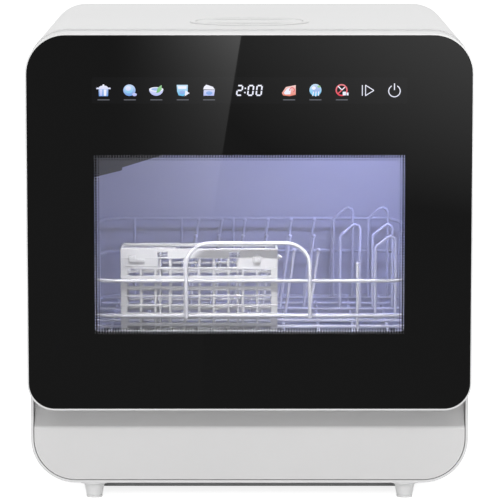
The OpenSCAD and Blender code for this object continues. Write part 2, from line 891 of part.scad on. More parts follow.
module fan_rotor() {
    y0 = panel_in_y - 28;
    color("black") {
        along_y(y0, y0 + 20, fan_x, fan_z, 12);
        along_y(y0, y0 + 2, fan_x, fan_z, fan_r - 2);
        along_y(y0 - 2 + seat_gap, y0 + eps, fan_x, fan_z, 3);
        for (blade = [0:11]) translate([fan_x, 0, fan_z]) rotate([0, blade * 30, 0])
            block([fan_r - 12, y0 + 2 - eps, -0.8], [fan_r - 3, y0 + 20, 0.8]);
    }
}

// Duct from the fan around the tub's left side to the air guide
module air_duct() {
    y_in = panel_in_y - 32;
    y_out = panel_in_y - rear_lip_t - seat_gap;
    x_in = -tub_half - tub_wall;
    x_out = -half_w + casing_wall + 4;
    low = duct_z - duct_h / 2;
    high = duct_z + duct_h / 2;
    color("gray") difference() {
        union() {
            block([x_out, y_in, low], [fan_x - 75, y_out, high]);
            block([x_out, hub_y - 83, low], [x_in, y_out, high]);
        }
        block([x_out + 2, y_in + 2, low + 2], [fan_x, y_out - 2, high - 2]);
        block([x_out + 2, hub_y - 81, low + 2], [x_in - 2, y_out - 2, high - 2]);
        block([x_out + 5, hub_y - 79, duct_z - 11], [x_in + 5, hub_y - 47, duct_z + 11]);
    }
}

// Hinges and catch -------------------------------------------------------

module hinge_brackets() {
    floor_z = pan_low_z + pan_wall;
    y_arm = pan_front_y + 10;
    color("silver") for (side = [-1, 1]) {
        x = side * hinge_x;
        difference() {
            union() {
                bar(x - bracket_t / 2, x + bracket_t / 2) {
                    translate([hinge_y, hinge_z]) circle(hinge_up);
                    translate([hinge_y, hinge_z - hinge_up]) square([y_arm - hinge_y + 45, hinge_up + 1.4]);
                    translate([y_arm, floor_z]) square([45, hinge_z - floor_z - 2]);
                }
                block([x - 8, y_arm, floor_z], [x + 8, y_arm + 45, floor_z + 3]);
            }
            along_x(x - 10, x + 10, hinge_y, hinge_z, hinge_pin_r + pin_clearance);
        }
    }
}

// Housing of the door's catch and switch, behind the slot that the door's tongue enters
module catch_housing() {
    low = tongue_z - 8;
    high = tongue_z + 22;
    w = tongue_w + 12;
    y1 = tub_front_y + catch_depth;
    color("lightgray") difference() {
        block([-w / 2, tub_front_y, low], [w / 2, y1, high]);
        block([-tongue_w / 2 - 3, tub_front_y - 1, tongue_z - 4],
              [tongue_w / 2 + 3, tongue_back_y + 5, magnet_z]);
        along_y(tongue_back_y, y1 - catch_wall, 0, plunger_z, plunger_r + 0.1);
        block([-10, tub_front_y + 2, magnet_z - 1], [10, tub_front_y + 16, magnet_z + 8]);
    }
}

// Magnet that holds the door's steel-faced tongue
module catch_magnet() {
    color("dimgray") block([-10, tub_front_y + 2, magnet_z], [10, tub_front_y + 16, magnet_z + 8]);
}

// Sprung plunger that the tongue presses when the door is shut
module catch_plunger() {
    color("white") translate([0, plunger_y, plunger_z]) rotate([-90, 0, 0]) {
        translate([0, 0, plunger_r]) cylinder(h = plunger_l - plunger_r, r = plunger_r);
        rotate_extrude() intersection() {
            translate([0, plunger_r]) circle(plunger_r);
            square([plunger_r, plunger_r + 0.5]);
        }
    }
}

module catch_spring() {
    rings = 3;
    y0 = plunger_y + plunger_l;
    y1 = tub_front_y + catch_depth - catch_wall;
    wire = 0.5;
    color("silver") for (ring = [0:rings - 1])
        translate([0, y0 + wire + 0.05 + ring * (y1 - y0 - 2 * wire - 0.1) / (rings - 1), plunger_z])
            rotate([90, 0, 0]) rotate_extrude() translate([plunger_r - 1.1, 0]) circle(wire, $fn = 24);
}

module cable_gland() {
    color("black") difference() {
        union() {
            along_y(panel_in_y - 8, back_y, gland_x, service_z, 8);
            along_y(panel_out_y, panel_out_y + 2, gland_x, service_z, 11);
            along_y(panel_in_y - 8, panel_in_y - 4, gland_x, service_z, 11);
        }
        along_y(panel_in_y - 9, back_y + 1, gland_x, service_z, 3.7);
    }
}

module power_board() {
    y1 = panel_in_y - 10;
    low = tub_roof_z + 6;
    high = overall_h - 24;
    color("darkgreen") {
        block([-80, y1 - 1.6, low], [50, y1, high]);
        for (x = [-74, 44], z = [low + 6, high - 6]) along_y(y1 - eps, panel_in_y, x, z, 3);
        block([-70, y1 - 24, low + 10], [-40, y1 - 1.6 + eps, low + 36]);
        for (x = [-25, 0, 25]) along_y(y1 - 20, y1 - 1.6 + eps, x, low + 20, 7);
    }
}

// Door -------------------------------------------------------------------

// White shell: side walls, a wall behind the glass, and ears for the hinge pins
module door_shell() {
    wall_y = front_y + glass_t;
    color("white") difference() {
        union() {
            difference() {
                slab(front_y + 0.2, door_back_y) door2d(0);
                slab(front_y - 1, wall_y) door2d(glass_rim);
                slab(wall_y + door_wall, door_back_y + 1) door2d(door_wall);
                slab(wall_y - 1, wall_y + 5) window2d(2);
            }
            for (side = [-1, 1], ear = [-1, 1]) {
                x = side * hinge_x + ear * (notch_half + ear_t / 2);
                block([x - ear_t / 2, wall_y + 1, door_bottom_z + 1],
                      [x + ear_t / 2, inner_y - 3.2, hinge_z + 9]);
            }
        }
        bar(-half_w - 1, half_w + 1) difference() {
            translate([hinge_y, hinge_z - 20]) square([20, 19]);
            translate([hinge_y, hinge_z]) circle(door_back_y - hinge_y);
        }
        for (side = [-1, 1]) {
            x = side * hinge_x;
            block([x - notch_half, hinge_y - hinge_up - 2, door_bottom_z - 1],
                  [x + notch_half, door_back_y + 1, hinge_z + hinge_up + 2]);
            along_x(x - notch_half - ear_t + 1, x + notch_half + ear_t - 1, hinge_y, hinge_z,
                    hinge_pin_r + 0.02);
        }
    }
}

module hinge_pins() {
    color("silver") for (side = [-1, 1]) {
        x = side * hinge_x;
        along_x(x - notch_half - ear_t + 1.5, x + notch_half + ear_t - 1.5, hinge_y, hinge_z, hinge_pin_r);
    }
}

module front_glass() {
    color("black") slab(front_y, front_y + glass_t) door2d(glass_rim + 0.1);
}

module door_inner_panel() {
    sheet_t = 2.5;
    inset = door_wall + 0.2;
    color("white") {
        difference() {
            slab(inner_y - 12, inner_y) door2d(inset);
            difference() {
                slab(inner_y - 13, inner_y - sheet_t) door2d(inset + 2.5);
                bar(-big, big) translate([inner_y - 14, 0]) square([20, hinge_z + 18]);
            }
            slab(inner_y - 13, inner_y + 1) window2d(2);
            lower_corner_cut();
            cup_pocket();
        }
        block([-tongue_w / 2, inner_y - 1, tongue_z], [tongue_w / 2, tongue_back_y, tongue_z + tongue_t]);
    }
}

// Clears the inner panel around the hinge line, where the shell's ears are
module lower_corner_cut() {
    block([-half_w - 1, inner_y - 14, 0], [half_w + 1, inner_y - 2.5, hinge_z + 18]);
    for (side = [-1, 1])
        block([side * hinge_x - notch_half, inner_y - 14, 0],
              [side * hinge_x + notch_half, inner_y + 1, hinge_z + hinge_up + 2]);
}

module cup_pocket() {
    block([cup_x - cup_w / 2, inner_y - 20, cup_low_z], [cup_x + cup_w / 2, inner_y + 1, cup_high_z]);
}

module detergent_cup() {
    gap = 0.2;
    x0 = cup_x - cup_w / 2 + gap;
    x1 = cup_x + cup_w / 2 - gap;
    z0 = cup_low_z + gap;
    z1 = cup_high_z - gap;
    color("lightgray") difference() {
        block([x0, inner_y - 18, z0], [x1, inner_y - 0.2, z1]);
        block([x0 + 4, inner_y - 16, z0 + 2], [cup_x - 4, inner_y + 1, z1 - 2]);
    }
}

module detergent_lid() {
    color("white") {
        block([cup_x - cup_w / 2 + 2, inner_y + 0.1, cup_low_z + 1],
              [cup_x, inner_y + 1.1, cup_high_z - 1]);
        block([cup_x - 8, inner_y + 1.1 - eps, cup_low_z + 4], [cup_x - 4, inner_y + 2.1, cup_high_z - 4]);
    }
}

module window_pane() {
    y1 = inner_y - 2.5 - seal_t;
    color("lightcyan") slab(y1 - pane_t, y1) window2d(pane_lap);
}

module window_gasket() {
    y1 = inner_y - 2.5;
    color("gray") difference() {
        slab(y1 - seal_t, y1) window2d(pane_lap);
        slab(y1 - seal_t - 1, y1 + 1) window2d(3);
    }
}

module control_board() {
    y0 = front_y + glass_t + door_wall + seat_gap;
    color("darkgreen") {
        block([-155, y0, icon_z - 17], [155, y0 + 1.6, icon_z + 17]);
        for (key = [0:10]) {
            key_x = -134 + key * 26.6;
            block([key_x - 4, y0 + 1.6 - eps, icon_z - 5], [key_x + 4, y0 + 4, icon_z + 5]);
        }
        block([-20, y0 + 1.6 - eps, icon_z - 12], [20, y0 + 7, icon_z - 7]);
    }
}

// Rack -------------------------------------------------------------------

// Puts its children at the rack's three rims: the upper two tilt up towards the back
module rim_places() {
    for (drop = [0, mid_drop])
        translate([0, rack_front_y, front_rim_z - drop]) rotate([rim_tilt, 0, 0])
            translate([0, rack_depth / 2, 0]) children();
    translate([0, rack_mid_y, rack_low_z]) children();
}

// Straight wires of the rims and the handle, the uprights and the glides
module rack_frame() {
    upright_in = rim_wire_r + thin_wire_r + 0.1;
    color("white") {
        rim_places() loop_sides(2 * rack_half, rack_depth, rim_corner, rim_wire_r);
        for (side = [-1, 1], y = [-95, -35, 25, 85])
            along_z(rack_low_z - rim_wire_r, front_rim_z + (y + rack_mid_y - rack_front_y) * tan(rim_tilt),
                    side * (rack_half - upright_in), rack_mid_y + y, thin_wire_r);
        for (x = [-120, -71, -17, 86, 125])
            along_z(rack_low_z - rim_wire_r, rear_rim_z, x, rack_back_y - upright_in, thin_wire_r);
        for (side = [-1, 1])
            along_z(handle_low_z, handle_top_z - handle_corner, handle_x + side * handle_w / 2, handle_y,
                    rim_wire_r);
        along_x(handle_x - handle_w / 2 + handle_corner, handle_x + handle_w / 2 - handle_corner,
                handle_y, handle_top_z, rim_wire_r);
        for (side = [-1, 1], y = [rack_front_y + 32, rack_back_y - 50]) rack_glide(side, y);
    }
}

// Bent wires at the rims' and the handle's corners
module rack_corners() {
    color("white") {
        rim_places() loop_bends(2 * rack_half, rack_depth, rim_corner, rim_wire_r);
        for (side = [-1, 1])
            translate([
                handle_x + side * (handle_w / 2 - handle_corner), handle_y, handle_top_z - handle_corner
            ])
                rotate([90, 0, 0]) rotate([0, 0, side > 0 ? 0 : 90])
                    rotate_extrude(angle = 90) translate([handle_corner, 0]) circle(rim_wire_r, $fn = 32);
    }
}

// Plastic shoe that is clipped on the rack's lowest side wire and slides on the rail
module rack_glide(side, y) {
    x = side * (rack_half + 1);
    difference() {
        block([min(x, x + side * 9), y, rack_low_z - 2 + seat_gap],
              [max(x, x + side * 9), y + 22, rack_low_z + 9]);
        along_y(y - 1, y + 23, side * rack_half, rack_low_z, rim_wire_r + 0.1);
    }
}

// Place of one cross wire of the rack's floor, counted from its middle
function row_y(row) = rack_mid_y + row * row_pitch;

// Floor wires with the plate tines on them
module rack_floor() {
    color("white") {
        for (column = [-4:4])
            along_y(rack_front_y + 2.6, rack_back_y - 2.6, column * 34, rack_low_z, thin_wire_r);
        for (row = [-3:3]) along_x(-rack_half + 6, rack_half - 6, row_y(row), cross_z, thin_wire_r);
        plate_tines();
    }
}

// Leaning tine with a ball tip, standing on the rack's floor
module tine(x, y, top, lean) {
    foot_z = cross_z + thin_wire_r + 0.1;
    length = (top - foot_z - 2) / cos(lean);
    translate([x - (top - foot_z) * tan(lean), y, foot_z + 0.3]) rotate([0, lean, 0]) {
        cylinder(h = length, r = thin_wire_r);
        translate([0, 0, length]) sphere(r = thin_wire_r + 0.6, $fn = 32);
    }
}

module plate_tines() {
    for (spot = [0:5]) tine(-52.5 + spot * tine_pitch, row_y(3), 238, tine_lean);
    for (spot = [0:5]) tine(-54.5 + spot * tine_pitch, row_y(1), 231, tine_lean);
    for (spot = [0:5]) tine(-51.2 + spot * tine_pitch, row_y(-1), 227, tine_lean);
    tine(105, row_y(-3), 224, 0);
}

// Wire through points in X and Z, with a small round knuckle at each inner point
module knuckle_wire(points, r) {
    last = len(points) - 1;
    for (i = [0:last - 1]) {
        step = points[i + 1] - points[i];
        translate([points[i][0], 0, points[i][1]]) rotate([0, atan2(step[0], step[1]), 0])
            cylinder(h = norm(step), r = r);
        if (i > 0) translate([points[i][0], 0, points[i][1]]) sphere(r = r + 0.1, $fn = 32);
    }
}

// Inverted wire loop for cups, with its left shoulder lower than its right
module cup_loop(x, y, top) {
    foot_z = cross_z + thin_wire_r + 0.1;
    loop_w = 20;
    corner = 5;
    slope = 40;
    right_z = top - foot_z - corner;
    left_z = right_z - (loop_w - 2 * corner) * tan(slope);
    left_arc = [for (turn = [180, 155, 90 + slope])
        [corner + corner * cos(turn), left_z + corner * sin(turn)]];
    right_arc = [for (turn = [90 + slope, 90, 45, 0])
        [loop_w - corner + corner * cos(turn), right_z + corner * sin(turn)]];
    translate([x, y, foot_z])
        knuckle_wire(concat([[0, 0]], left_arc, right_arc, [[loop_w, 0]]), thin_wire_r);
}

module cup_loops() {
    color("white") {
        for (x = [87, 123]) cup_loop(x, row_y(3), 249);
        for (x = [92, 125]) cup_loop(x, row_y(1), 241);
        cup_loop(125, row_y(-1), 239);
    }
}

module cutlery_basket() {
    x0 = basket_x - basket_w / 2;
    x1 = basket_x + basket_w / 2;
    y0 = basket_front_y;
    y1 = y0 + basket_d;
    low = basket_low_z;
    top = basket_top_z;
    columns = 8;
    pitch = (basket_w - 2 * basket_wall - 6) / columns;
    color("white") {
        difference() {
            block([x0, y0, low], [x1, y1, top]);
            for (cell = [0:3]) {
                cell_w = (basket_w - 5 * basket_wall) / 4;
                xc = x0 + basket_wall + cell * (cell_w + basket_wall);
                block([xc, y0 + basket_wall, low + basket_wall], [xc + cell_w, y1 - basket_wall, top + 1]);
            }
            for (column = [0:columns - 1], row = [0:4]) {
                xw = x0 + basket_wall + 3 + column * pitch + 1.2;
                zw = low + 5 + row * 12.6;
                skip = row == 4 && (column < 2 || column == 7);
                if (!skip) block([xw, y0 - 1, zw], [xw + pitch - 2.4, y1 + 1, zw + 9.6]);
            }
            for (row = [0:4], cell = [0:1])
                block([x0 - 1, y0 + 4 + cell * 19, low + 5 + row * 12.6],
                      [x1 + 1, y0 + 19 + cell * 19, low + 14.6 + row * 12.6]);
            for (column = [0:columns - 1], row = [0:1])
                block([x0 + 8 + column * pitch, y0 + 5 + row * 18, low - 1],
                      [x0 + 18 + column * pitch, y0 + 19 + row * 18, low + basket_wall + 1]);
        }
        along_x(x1 - eps, x1 + 4, y0 + 8, top - 10, 2.5);
        along_y(y0 - 2.2, y0 + eps, x1 - 20, top - 9, 3.2);
        block([x0 + 10, y0 - 0.4, top - 15], [x0 + 25, y0 + eps, top - 11]);
        block([x0 + 10, y0 - 0.4, top - 11 - eps], [x0 + 16, y0 + eps, top - 8]);
    }
}

outer_casing();
rear_panel();
front_skirt();
base_pan();
feet();
foot_pads();
case_screws();
filler_funnel();
filler_seal();
filler_lid();
water_tank();
tank_float();
tub();
tub_gasket();
rack_rails();
sump();
flat_filter();
filter_cup();
circulation_pump();
pump_impeller();
drain_pump();
drain_impeller();
water_heater();
spray_pipe();
lower_arm_hub();
lower_spray_arm();
upper_arm_hub();
upper_spray_arm();
drain_spigot();
inlet_valve();
supply_hose();
feed_hose();
drain_hose();
pressure_switch();
fan_housing();
fan_rotor();
air_duct();
air_outlet();
interior_lamp();
hinge_brackets();
catch_housing();
catch_plunger();
catch_spring();
catch_magnet();
cable_gland();
power_board();
door_shell();
front_glass();
window_pane();
window_gasket();
door_inner_panel();
control_board();
detergent_cup();
detergent_lid();
hinge_pins();
rack_frame();
rack_corners();
rack_floor();
cup_loops();
cutlery_basket();
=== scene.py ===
"""Countertop dishwasher: surfaces, glass front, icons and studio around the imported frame."""

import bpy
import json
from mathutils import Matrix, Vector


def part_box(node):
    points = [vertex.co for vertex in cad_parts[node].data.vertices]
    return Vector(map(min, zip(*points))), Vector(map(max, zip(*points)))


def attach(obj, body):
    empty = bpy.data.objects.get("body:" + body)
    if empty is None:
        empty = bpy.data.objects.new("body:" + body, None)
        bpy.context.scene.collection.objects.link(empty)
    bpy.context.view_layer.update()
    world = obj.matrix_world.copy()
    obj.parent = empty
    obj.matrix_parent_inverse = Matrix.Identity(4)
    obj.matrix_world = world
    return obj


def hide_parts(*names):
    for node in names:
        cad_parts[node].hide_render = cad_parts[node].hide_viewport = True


bl_info = {
    "name": "Countertop Dishwasher",
    "version": (1, 0, 0),
    "blender": (4, 5, 0),
    "location": "View3D > Sidebar > Dishwasher",
    "description": "Builds the finish of a small white dishwasher around its packed frame",
    "category": "Object",
}

import json
import math

import bmesh
import bpy
from bpy.props import FloatProperty, FloatVectorProperty, PointerProperty
from mathutils import Vector

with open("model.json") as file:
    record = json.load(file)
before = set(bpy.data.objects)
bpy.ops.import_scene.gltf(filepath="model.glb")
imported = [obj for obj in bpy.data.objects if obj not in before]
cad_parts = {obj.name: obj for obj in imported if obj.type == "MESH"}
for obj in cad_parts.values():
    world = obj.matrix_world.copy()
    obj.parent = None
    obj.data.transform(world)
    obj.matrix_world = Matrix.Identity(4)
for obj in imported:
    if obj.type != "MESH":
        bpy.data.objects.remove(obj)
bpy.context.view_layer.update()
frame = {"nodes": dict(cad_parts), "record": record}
NODES = frame["nodes"]
RECORD = frame["record"]
BODY_OF = {
    node: body for body, members in RECORD["behaviour"]["bodies"].items() for node in members
}
SLOT_OF = {row["node"]: row["material_slot"] for row in RECORD["subparts"]}

MM = 0.001
SMOOTH_ANGLE = math.radians(30)
# Faces that turn less than this are one flat face
FLAT_ANGLE = math.radians(0.4)
# Points closer than this are one point, or lie in one plane
TOUCH = 0.01 * MM
# What counts as parallel to an axis: the share of a direction that lies along it
PARALLEL = 0.99
# Sides of a round rod and the radius of its eased rims
ROD_SIDES = 32
ROD_RIM = 0.4 * MM


def srgb(red, green, blue):
    """Linear colour from a 0 to 255 screen colour."""
    return tuple(
        part / 12.92 if part <= 0.04045 else ((part + 0.055) / 1.055) ** 2.4
        for part in (red / 255, green / 255, blue / 255)
    )


def size_property(name, description, default, low, high):
    """Length in metres."""
    return FloatProperty(
        name=name, description=description, default=default, min=low, max=high,
        unit="LENGTH", subtype="DISTANCE", precision=4,
    )


def level_property(name, description, default, high, low=0):
    """Plain number, such as a lamp's watts."""
    return FloatProperty(name=name, description=description, default=default, min=low, max=high)


def colour_property(name, description, default):
    """Linear colour of a finish or a lamp."""
    return FloatVectorProperty(
        name=name, description=description, default=default, min=0, max=1, subtype="COLOR"
    )


# ---------------------------------------------------------------- properties


class DishwasherSizes(bpy.types.PropertyGroup):
    """Sizes of the glass front and its prints."""

    glass_chamfer: size_property(
        "Glass chamfer", "Ground edge around the front glass", 0.0006, 0.0002, 0.002
    )
    window_width: size_property("Window width", "Clear window's width", 0.295, 0.24, 0.3)
    window_low: size_property(
        "Window low", "Height of the window's lower edge", 0.1675, 0.16, 0.19
    )
    window_high: size_property(
        "Window high", "Height of the window's upper edge", 0.34, 0.3, 0.342
    )
    window_corner: size_property(
        "Window corner", "Corner radius of the window", 0.004, 0.001, 0.014
    )
    border_depth: size_property(
        "Border depth", "Width of the dotted print around the window", 0.0085, 0.002, 0.02
    )
    border_pitch: size_property(
        "Border pitch", "Distance of the border's dots", 0.00255, 0.0005, 0.003
    )
    icon_height: size_property("Icon height", "Height of the row of icons", 0.3995, 0.38, 0.42)
    print_thickness: size_property(
        "Print thickness", "How far the icons stand on the glass", 0.0001, 0.00005, 0.0005
    )
    print_room: size_property(
        "Print room", "How far the glass lies back so that its print stays in the box",
        0.0004, 0.0002, 0.001,
    )


class DishwasherColours(bpy.types.PropertyGroup):
    """Colours of the finishes and of the light in the tub."""

    casing: colour_property("Casing", "Gloss white of casing and door", (0.80, 0.80, 0.80))
    skirt: colour_property("Skirt", "Satin white of the lower cover", (0.74, 0.735, 0.735))
    black: colour_property("Glass black", "Print behind the front glass", (0.002, 0.002, 0.002))
    tint: colour_property("Window tint", "What the window passes", (0.95, 0.95, 0.96))
    tub: colour_property("Tub", "White of the wash tub", (0.74, 0.74, 0.76))
    wire: colour_property("Wire", "Coating of the rack's wires", (0.78, 0.78, 0.79))
    basket: colour_property("Basket", "Moulding of the cutlery basket", (0.66, 0.66, 0.645))
    lamp: colour_property("Lamp", "Light inside the tub", (0.44, 0.48, 1.0))


class DishwasherStudio(bpy.types.PropertyGroup):
    """Camera and lamps."""

    lens: level_property("Lens", "Focal length in millimetres", 244.0, 500, 20)
    distance: size_property("Distance", "Camera in front of the machine's middle", 3.3675, 1, 8)
    height: size_property("Height", "Camera above the worktop", 0.6755, 0.1, 3)
    pitch: FloatProperty(
        name="Pitch", description="Camera's tilt below level", subtype="ANGLE",
        default=math.radians(7.7), min=-1.5, max=1.5,
    )
    ambient: level_property("Ambient", "World light on the object", 0.55, 2)
    key: level_property("Key", "Watts of the top lamp", 8, 500)
    fill: level_property("Fill", "Watts of the front lamp", 24, 500)
    tub_lamp: level_property("Tub lamp", "Watts on the tub's wall", 0.32, 20)
    basket_lamp: level_property("Basket lamp", "Watts on the rack's front", 0.16, 20)


# ---------------------------------------------------------------- modelling helpers


def clear_selection():
    """Object mode with nothing selected."""
    if bpy.context.mode != "OBJECT":
        bpy.ops.object.mode_set(mode="OBJECT")
    bpy.ops.object.select_all(action="DESELECT")


def activate(piece):
    """Selects one piece alone."""
    clear_selection()
    piece.select_set(True)
    bpy.context.view_layer.objects.active = piece


def settle(piece):
    """Puts a piece's place into its mesh."""
    activate(piece)
    bpy.ops.object.transform_apply(location=True, rotation=True, scale=True)


def pick(piece, kind, test):
    """Enters edit mode with the elements that pass the test selected."""
    activate(piece)
    bpy.ops.object.mode_set(mode="EDIT")
    bpy.ops.mesh.select_mode(type=kind)
    bpy.ops.mesh.select_all(action="DESELECT")
    cage = bmesh.from_edit_mesh(piece.data)
    for item in {"VERT": cage.verts, "EDGE": cage.edges, "FACE": cage.faces}[kind]:
        if test(item):
            item.select_set(True)
    bmesh.update_edit_mesh(piece.data)


def leave():
    """Back to object mode."""
    bpy.ops.object.mode_set(mode="OBJECT")


def along(edge, axis):
    """True if an edge runs along X, Y or Z (0, 1, 2)."""
    step = edge.verts[1].co - edge.verts[0].co
    return abs(step[axis]) > PARALLEL * step.length


def add_block(name, low, high):
    """Cube between two corners."""
    clear_selection()
    low, high = Vector(low), Vector(high)
    bpy.ops.mesh.primitive_cube_add(size=1, location=(low + high) / 2)
    piece = bpy.context.object
    piece.name = name
    piece.scale = high - low
    settle(piece)
    return piece


def round_edges(piece, test, radius, segments):
    """Rounds the edges that pass a test."""
    pick(piece, "EDGE", test)
    bpy.ops.mesh.bevel(offset=radius, segments=segments, profile=0.5, affect="EDGES")
    leave()


def bevel_all(piece, width, segments):
    """Rounds the sharp edges of a whole piece."""
    activate(piece)
    bevel = piece.modifiers.new("edges", "BEVEL")
    bevel.width = width
    bevel.segments = segments
    bevel.limit_method = "ANGLE"
    bevel.angle_limit = SMOOTH_ANGLE
    bevel.miter_outer = "MITER_ARC"
    bpy.ops.object.modifier_apply(modifier=bevel.name)


def smooth(piece):
    """Smooth shading that leaves flat faces flat between their rounded edges."""
    activate(piece)
    bpy.ops.object.shade_smooth_by_angle(angle=SMOOTH_ANGLE)
    weighted = piece.modifiers.new("normals", "WEIGHTED_NORMAL")
    weighted.keep_sharp = True
    bpy.ops.object.modifier_apply(modifier=weighted.name)


def add_bar(low, high, radius):
    """Moulded bar between two corners, with rounded edges."""
    bar = add_block("bar", low, high)
    round_edges(bar, lambda edge: True, radius, 2)
    return bar


def copied(piece, shift):
    """A moved twin with its own mesh."""
    twin = piece.copy()
    twin.data = piece.data.copy()
    bpy.context.scene.collection.objects.link(twin)
    twin.location = shift
    settle(twin)
    return twin


def add_rod(place, radius, length, axis):
    """Round rod along X, Y or Z (0, 1, 2) around its middle, with eased rims."""
    clear_selection()
    turn = ((0, math.pi / 2, 0), (math.pi / 2, 0, 0), (0, 0, 0))[axis]
    bpy.ops.mesh.primitive_cylinder_add(
        vertices=ROD_SIDES, radius=radius, depth=length, location=place, rotation=turn
    )
    rod = bpy.context.object
    settle(rod)
    round_edges(rod, lambda edge: not along(edge, axis), ROD_RIM, 2)
    return rod


def join(pieces, name):
    """One piece from several."""
    clear_selection()
    for piece in pieces:
        piece.select_set(True)
    bpy.context.view_layer.objects.active = pieces[0]
    bpy.ops.object.join()
    pieces[0].name = name
    pieces[0].data.name = name
    return pieces[0]


def stand_for(piece, node):
    """A piece takes a CAD node's place and body."""
    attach(piece, BODY_OF[node])
    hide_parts(node)


def merged_copy(node, name):
    """A node's mesh as one closed skin with its flat faces whole."""
    piece = bpy.data.objects.new(name, NODES[node].data.copy())
    piece.data.name = name
    bpy.context.scene.collection.objects.link(piece)
    pick(piece, "VERT", lambda point: True)
    bpy.ops.mesh.remove_doubles(threshold=TOUCH)
    bpy.ops.mesh.dissolve_limited(angle_limit=FLAT_ANGLE)
    leave()
    return piece


# ---------------------------------------------------------------- node groups

SOCKETS = {
    "vector": "NodeSocketVector", "colour": "NodeSocketColor", "value": "NodeSocketFloat",
}
PLAIN_WHITE = (1, 1, 1, 1)
# Most of a noise lies between these two values
NOISE_LOW, NOISE_HIGH = 0.3, 0.7
# How much finer the speckle in the gloss is than the drift in the colour
SPECKLE = 9.0
# How much coarser orange peel is than the grain
PEEL_SCALE = 0.12
# Lines run along X: stretched there, fine across
BRUSH_STRETCH = (12, 900, 900)
# Radius of the dots at the window's edge, as a share of their distance
FULL_DOT = 0.56
# Half the height of an icon
ICON_HALF = 6 * MM


class Wiring:
    """Short names for making and linking the nodes of one tree."""

    def __init__(self, tree):
        self.tree = tree

    def add(self, kind, **values):
        """New node with its own settings."""
        node = self.tree.nodes.new(kind)
        for name, value in values.items():
            setattr(node, name, value)
        return node

    def feed(self, target, source):
        """Links a socket to an input, or sets the input to a plain value."""
        if isinstance(source, bpy.types.NodeSocket):
            self.tree.links.new(source, target)
        elif source is not None:
            target.default_value = source

    def math(self, operation, first, second=None, clamp=False):
        """One step of arithmetic."""
        node = self.add("ShaderNodeMath", operation=operation, use_clamp=clamp)
        for socket, source in zip(node.inputs, (first, second)):
            self.feed(socket, source)
        return node.outputs[0]

    def diagonal(self, first, second):
        """Length of the diagonal of two values."""
        squares = [self.math("POWER", value, 2.0) for value in (first, second)]
        return self.math("SQRT", self.math("ADD", *squares))

    def swing(self, middle, noise, width):
        """A value between 0 and 1 that a noise moves around its middle."""
        shift = self.math("MULTIPLY", self.math("SUBTRACT", noise, 0.5), width)
        return self.math("ADD", middle, shift, clamp=True)

    def noise(self, vector, scale, detail, rough=0.5):
        """Noise pattern between 0 and 1."""
        node = self.add("ShaderNodeTexNoise")
        for label, source in (
            ("Vector", vector), ("Scale", scale), ("Detail", detail), ("Roughness", rough),
        ):
            self.feed(node.inputs[label], source)
        return node.outputs["Fac"]

    def axes(self, vector):
        """X, Y and Z of a vector."""
        split = self.add("ShaderNodeSeparateXYZ")
        self.feed(split.inputs[0], vector)
        return split.outputs

    def span(self, value, low, high, to_low=0.0, to_high=1.0):
        """A value's place between two others, mapped to a new range and kept in it."""
        node = self.add("ShaderNodeMapRange", clamp=True)
        for label, source in (
            ("Value", value), ("From Min", low), ("From Max", high),
            ("To Min", to_low), ("To Max", to_high),
        ):
            self.feed(node.inputs[label], source)
        return node.outputs["Result"]

    def blend(self, share, first, second):
        """Mix of two colours."""
        node = self.add("ShaderNodeMix", data_type="RGBA")
        self.feed(node.inputs["Factor"], share)
        self.feed(node.inputs[6], first)
        self.feed(node.inputs[7], second)
        return node.outputs[2]


def new_group(name, inputs, outputs):
    """Shader group with its sockets: its wiring, what it is given and what it puts out."""
    group = bpy.data.node_groups.new(name, "ShaderNodeTree")
    for label, kind, default in inputs:
        socket = group.interface.new_socket(label, in_out="INPUT", socket_type=SOCKETS[kind])
        if default is not None:
            socket.default_value = default
    for label, kind in outputs:
        group.interface.new_socket(label, in_out="OUTPUT", socket_type=SOCKETS[kind])
    wires = Wiring(group)
    return wires, wires.add("NodeGroupInput").outputs, wires.add("NodeGroupOutput").inputs


def group_surface_tone():
    """Slow colour drift, fine speckle and uneven gloss, as on any real moulding."""
    wires, given, out = new_group(
        "surface_tone",
        [("Vector", "vector", None), ("Colour", "colour", PLAIN_WHITE), ("Drift", "value", 0.03),
         ("Scale", "value", 6.0), ("Roughness", "value", 0.3), ("Gloss Spread", "value", 0.05)],
        [("Colour", "colour"), ("Roughness", "value")],
    )
    slow = wires.noise(given["Vector"], given["Scale"], 2.0)
    low = wires.math("SUBTRACT", 1.0, given["Drift"])
    bright = wires.add("ShaderNodeVectorMath", operation="SCALE")
    wires.feed(bright.inputs[0], given["Colour"])
    wires.feed(bright.inputs["Scale"], wires.span(slow, NOISE_LOW, NOISE_HIGH, low, 1.0))
    wires.feed(out["Colour"], bright.outputs[0])
    fine = wires.noise(given["Vector"], wires.math("MULTIPLY", given["Scale"], SPECKLE), 4.0)
    wires.feed(out["Roughness"], wires.swing(given["Roughness"], fine, given["Gloss Spread"]))


def group_moulded_grain():
    """Height of a spark-eroded or orange-peel skin."""
    wires, given, out = new_group(
        "moulded_grain",
        [("Vector", "vector", None), ("Scale", "value", 900.0), ("Peel", "value", 0.3)],
        [("Height", "value")],
    )
    grain = wires.noise(given["Vector"], given["Scale"], 2.0, 0.6)
    peel_scale = wires.math("MULTIPLY", given["Scale"], PEEL_SCALE)
    peel = wires.noise(given["Vector"], peel_scale, 1.0)
    fine = wires.math("MULTIPLY", grain, wires.math("SUBTRACT", 1.0, given["Peel"]))
    coarse = wires.math("MULTIPLY", peel, given["Peel"])
    wires.feed(out["Height"], wires.math("ADD", fine, coarse))


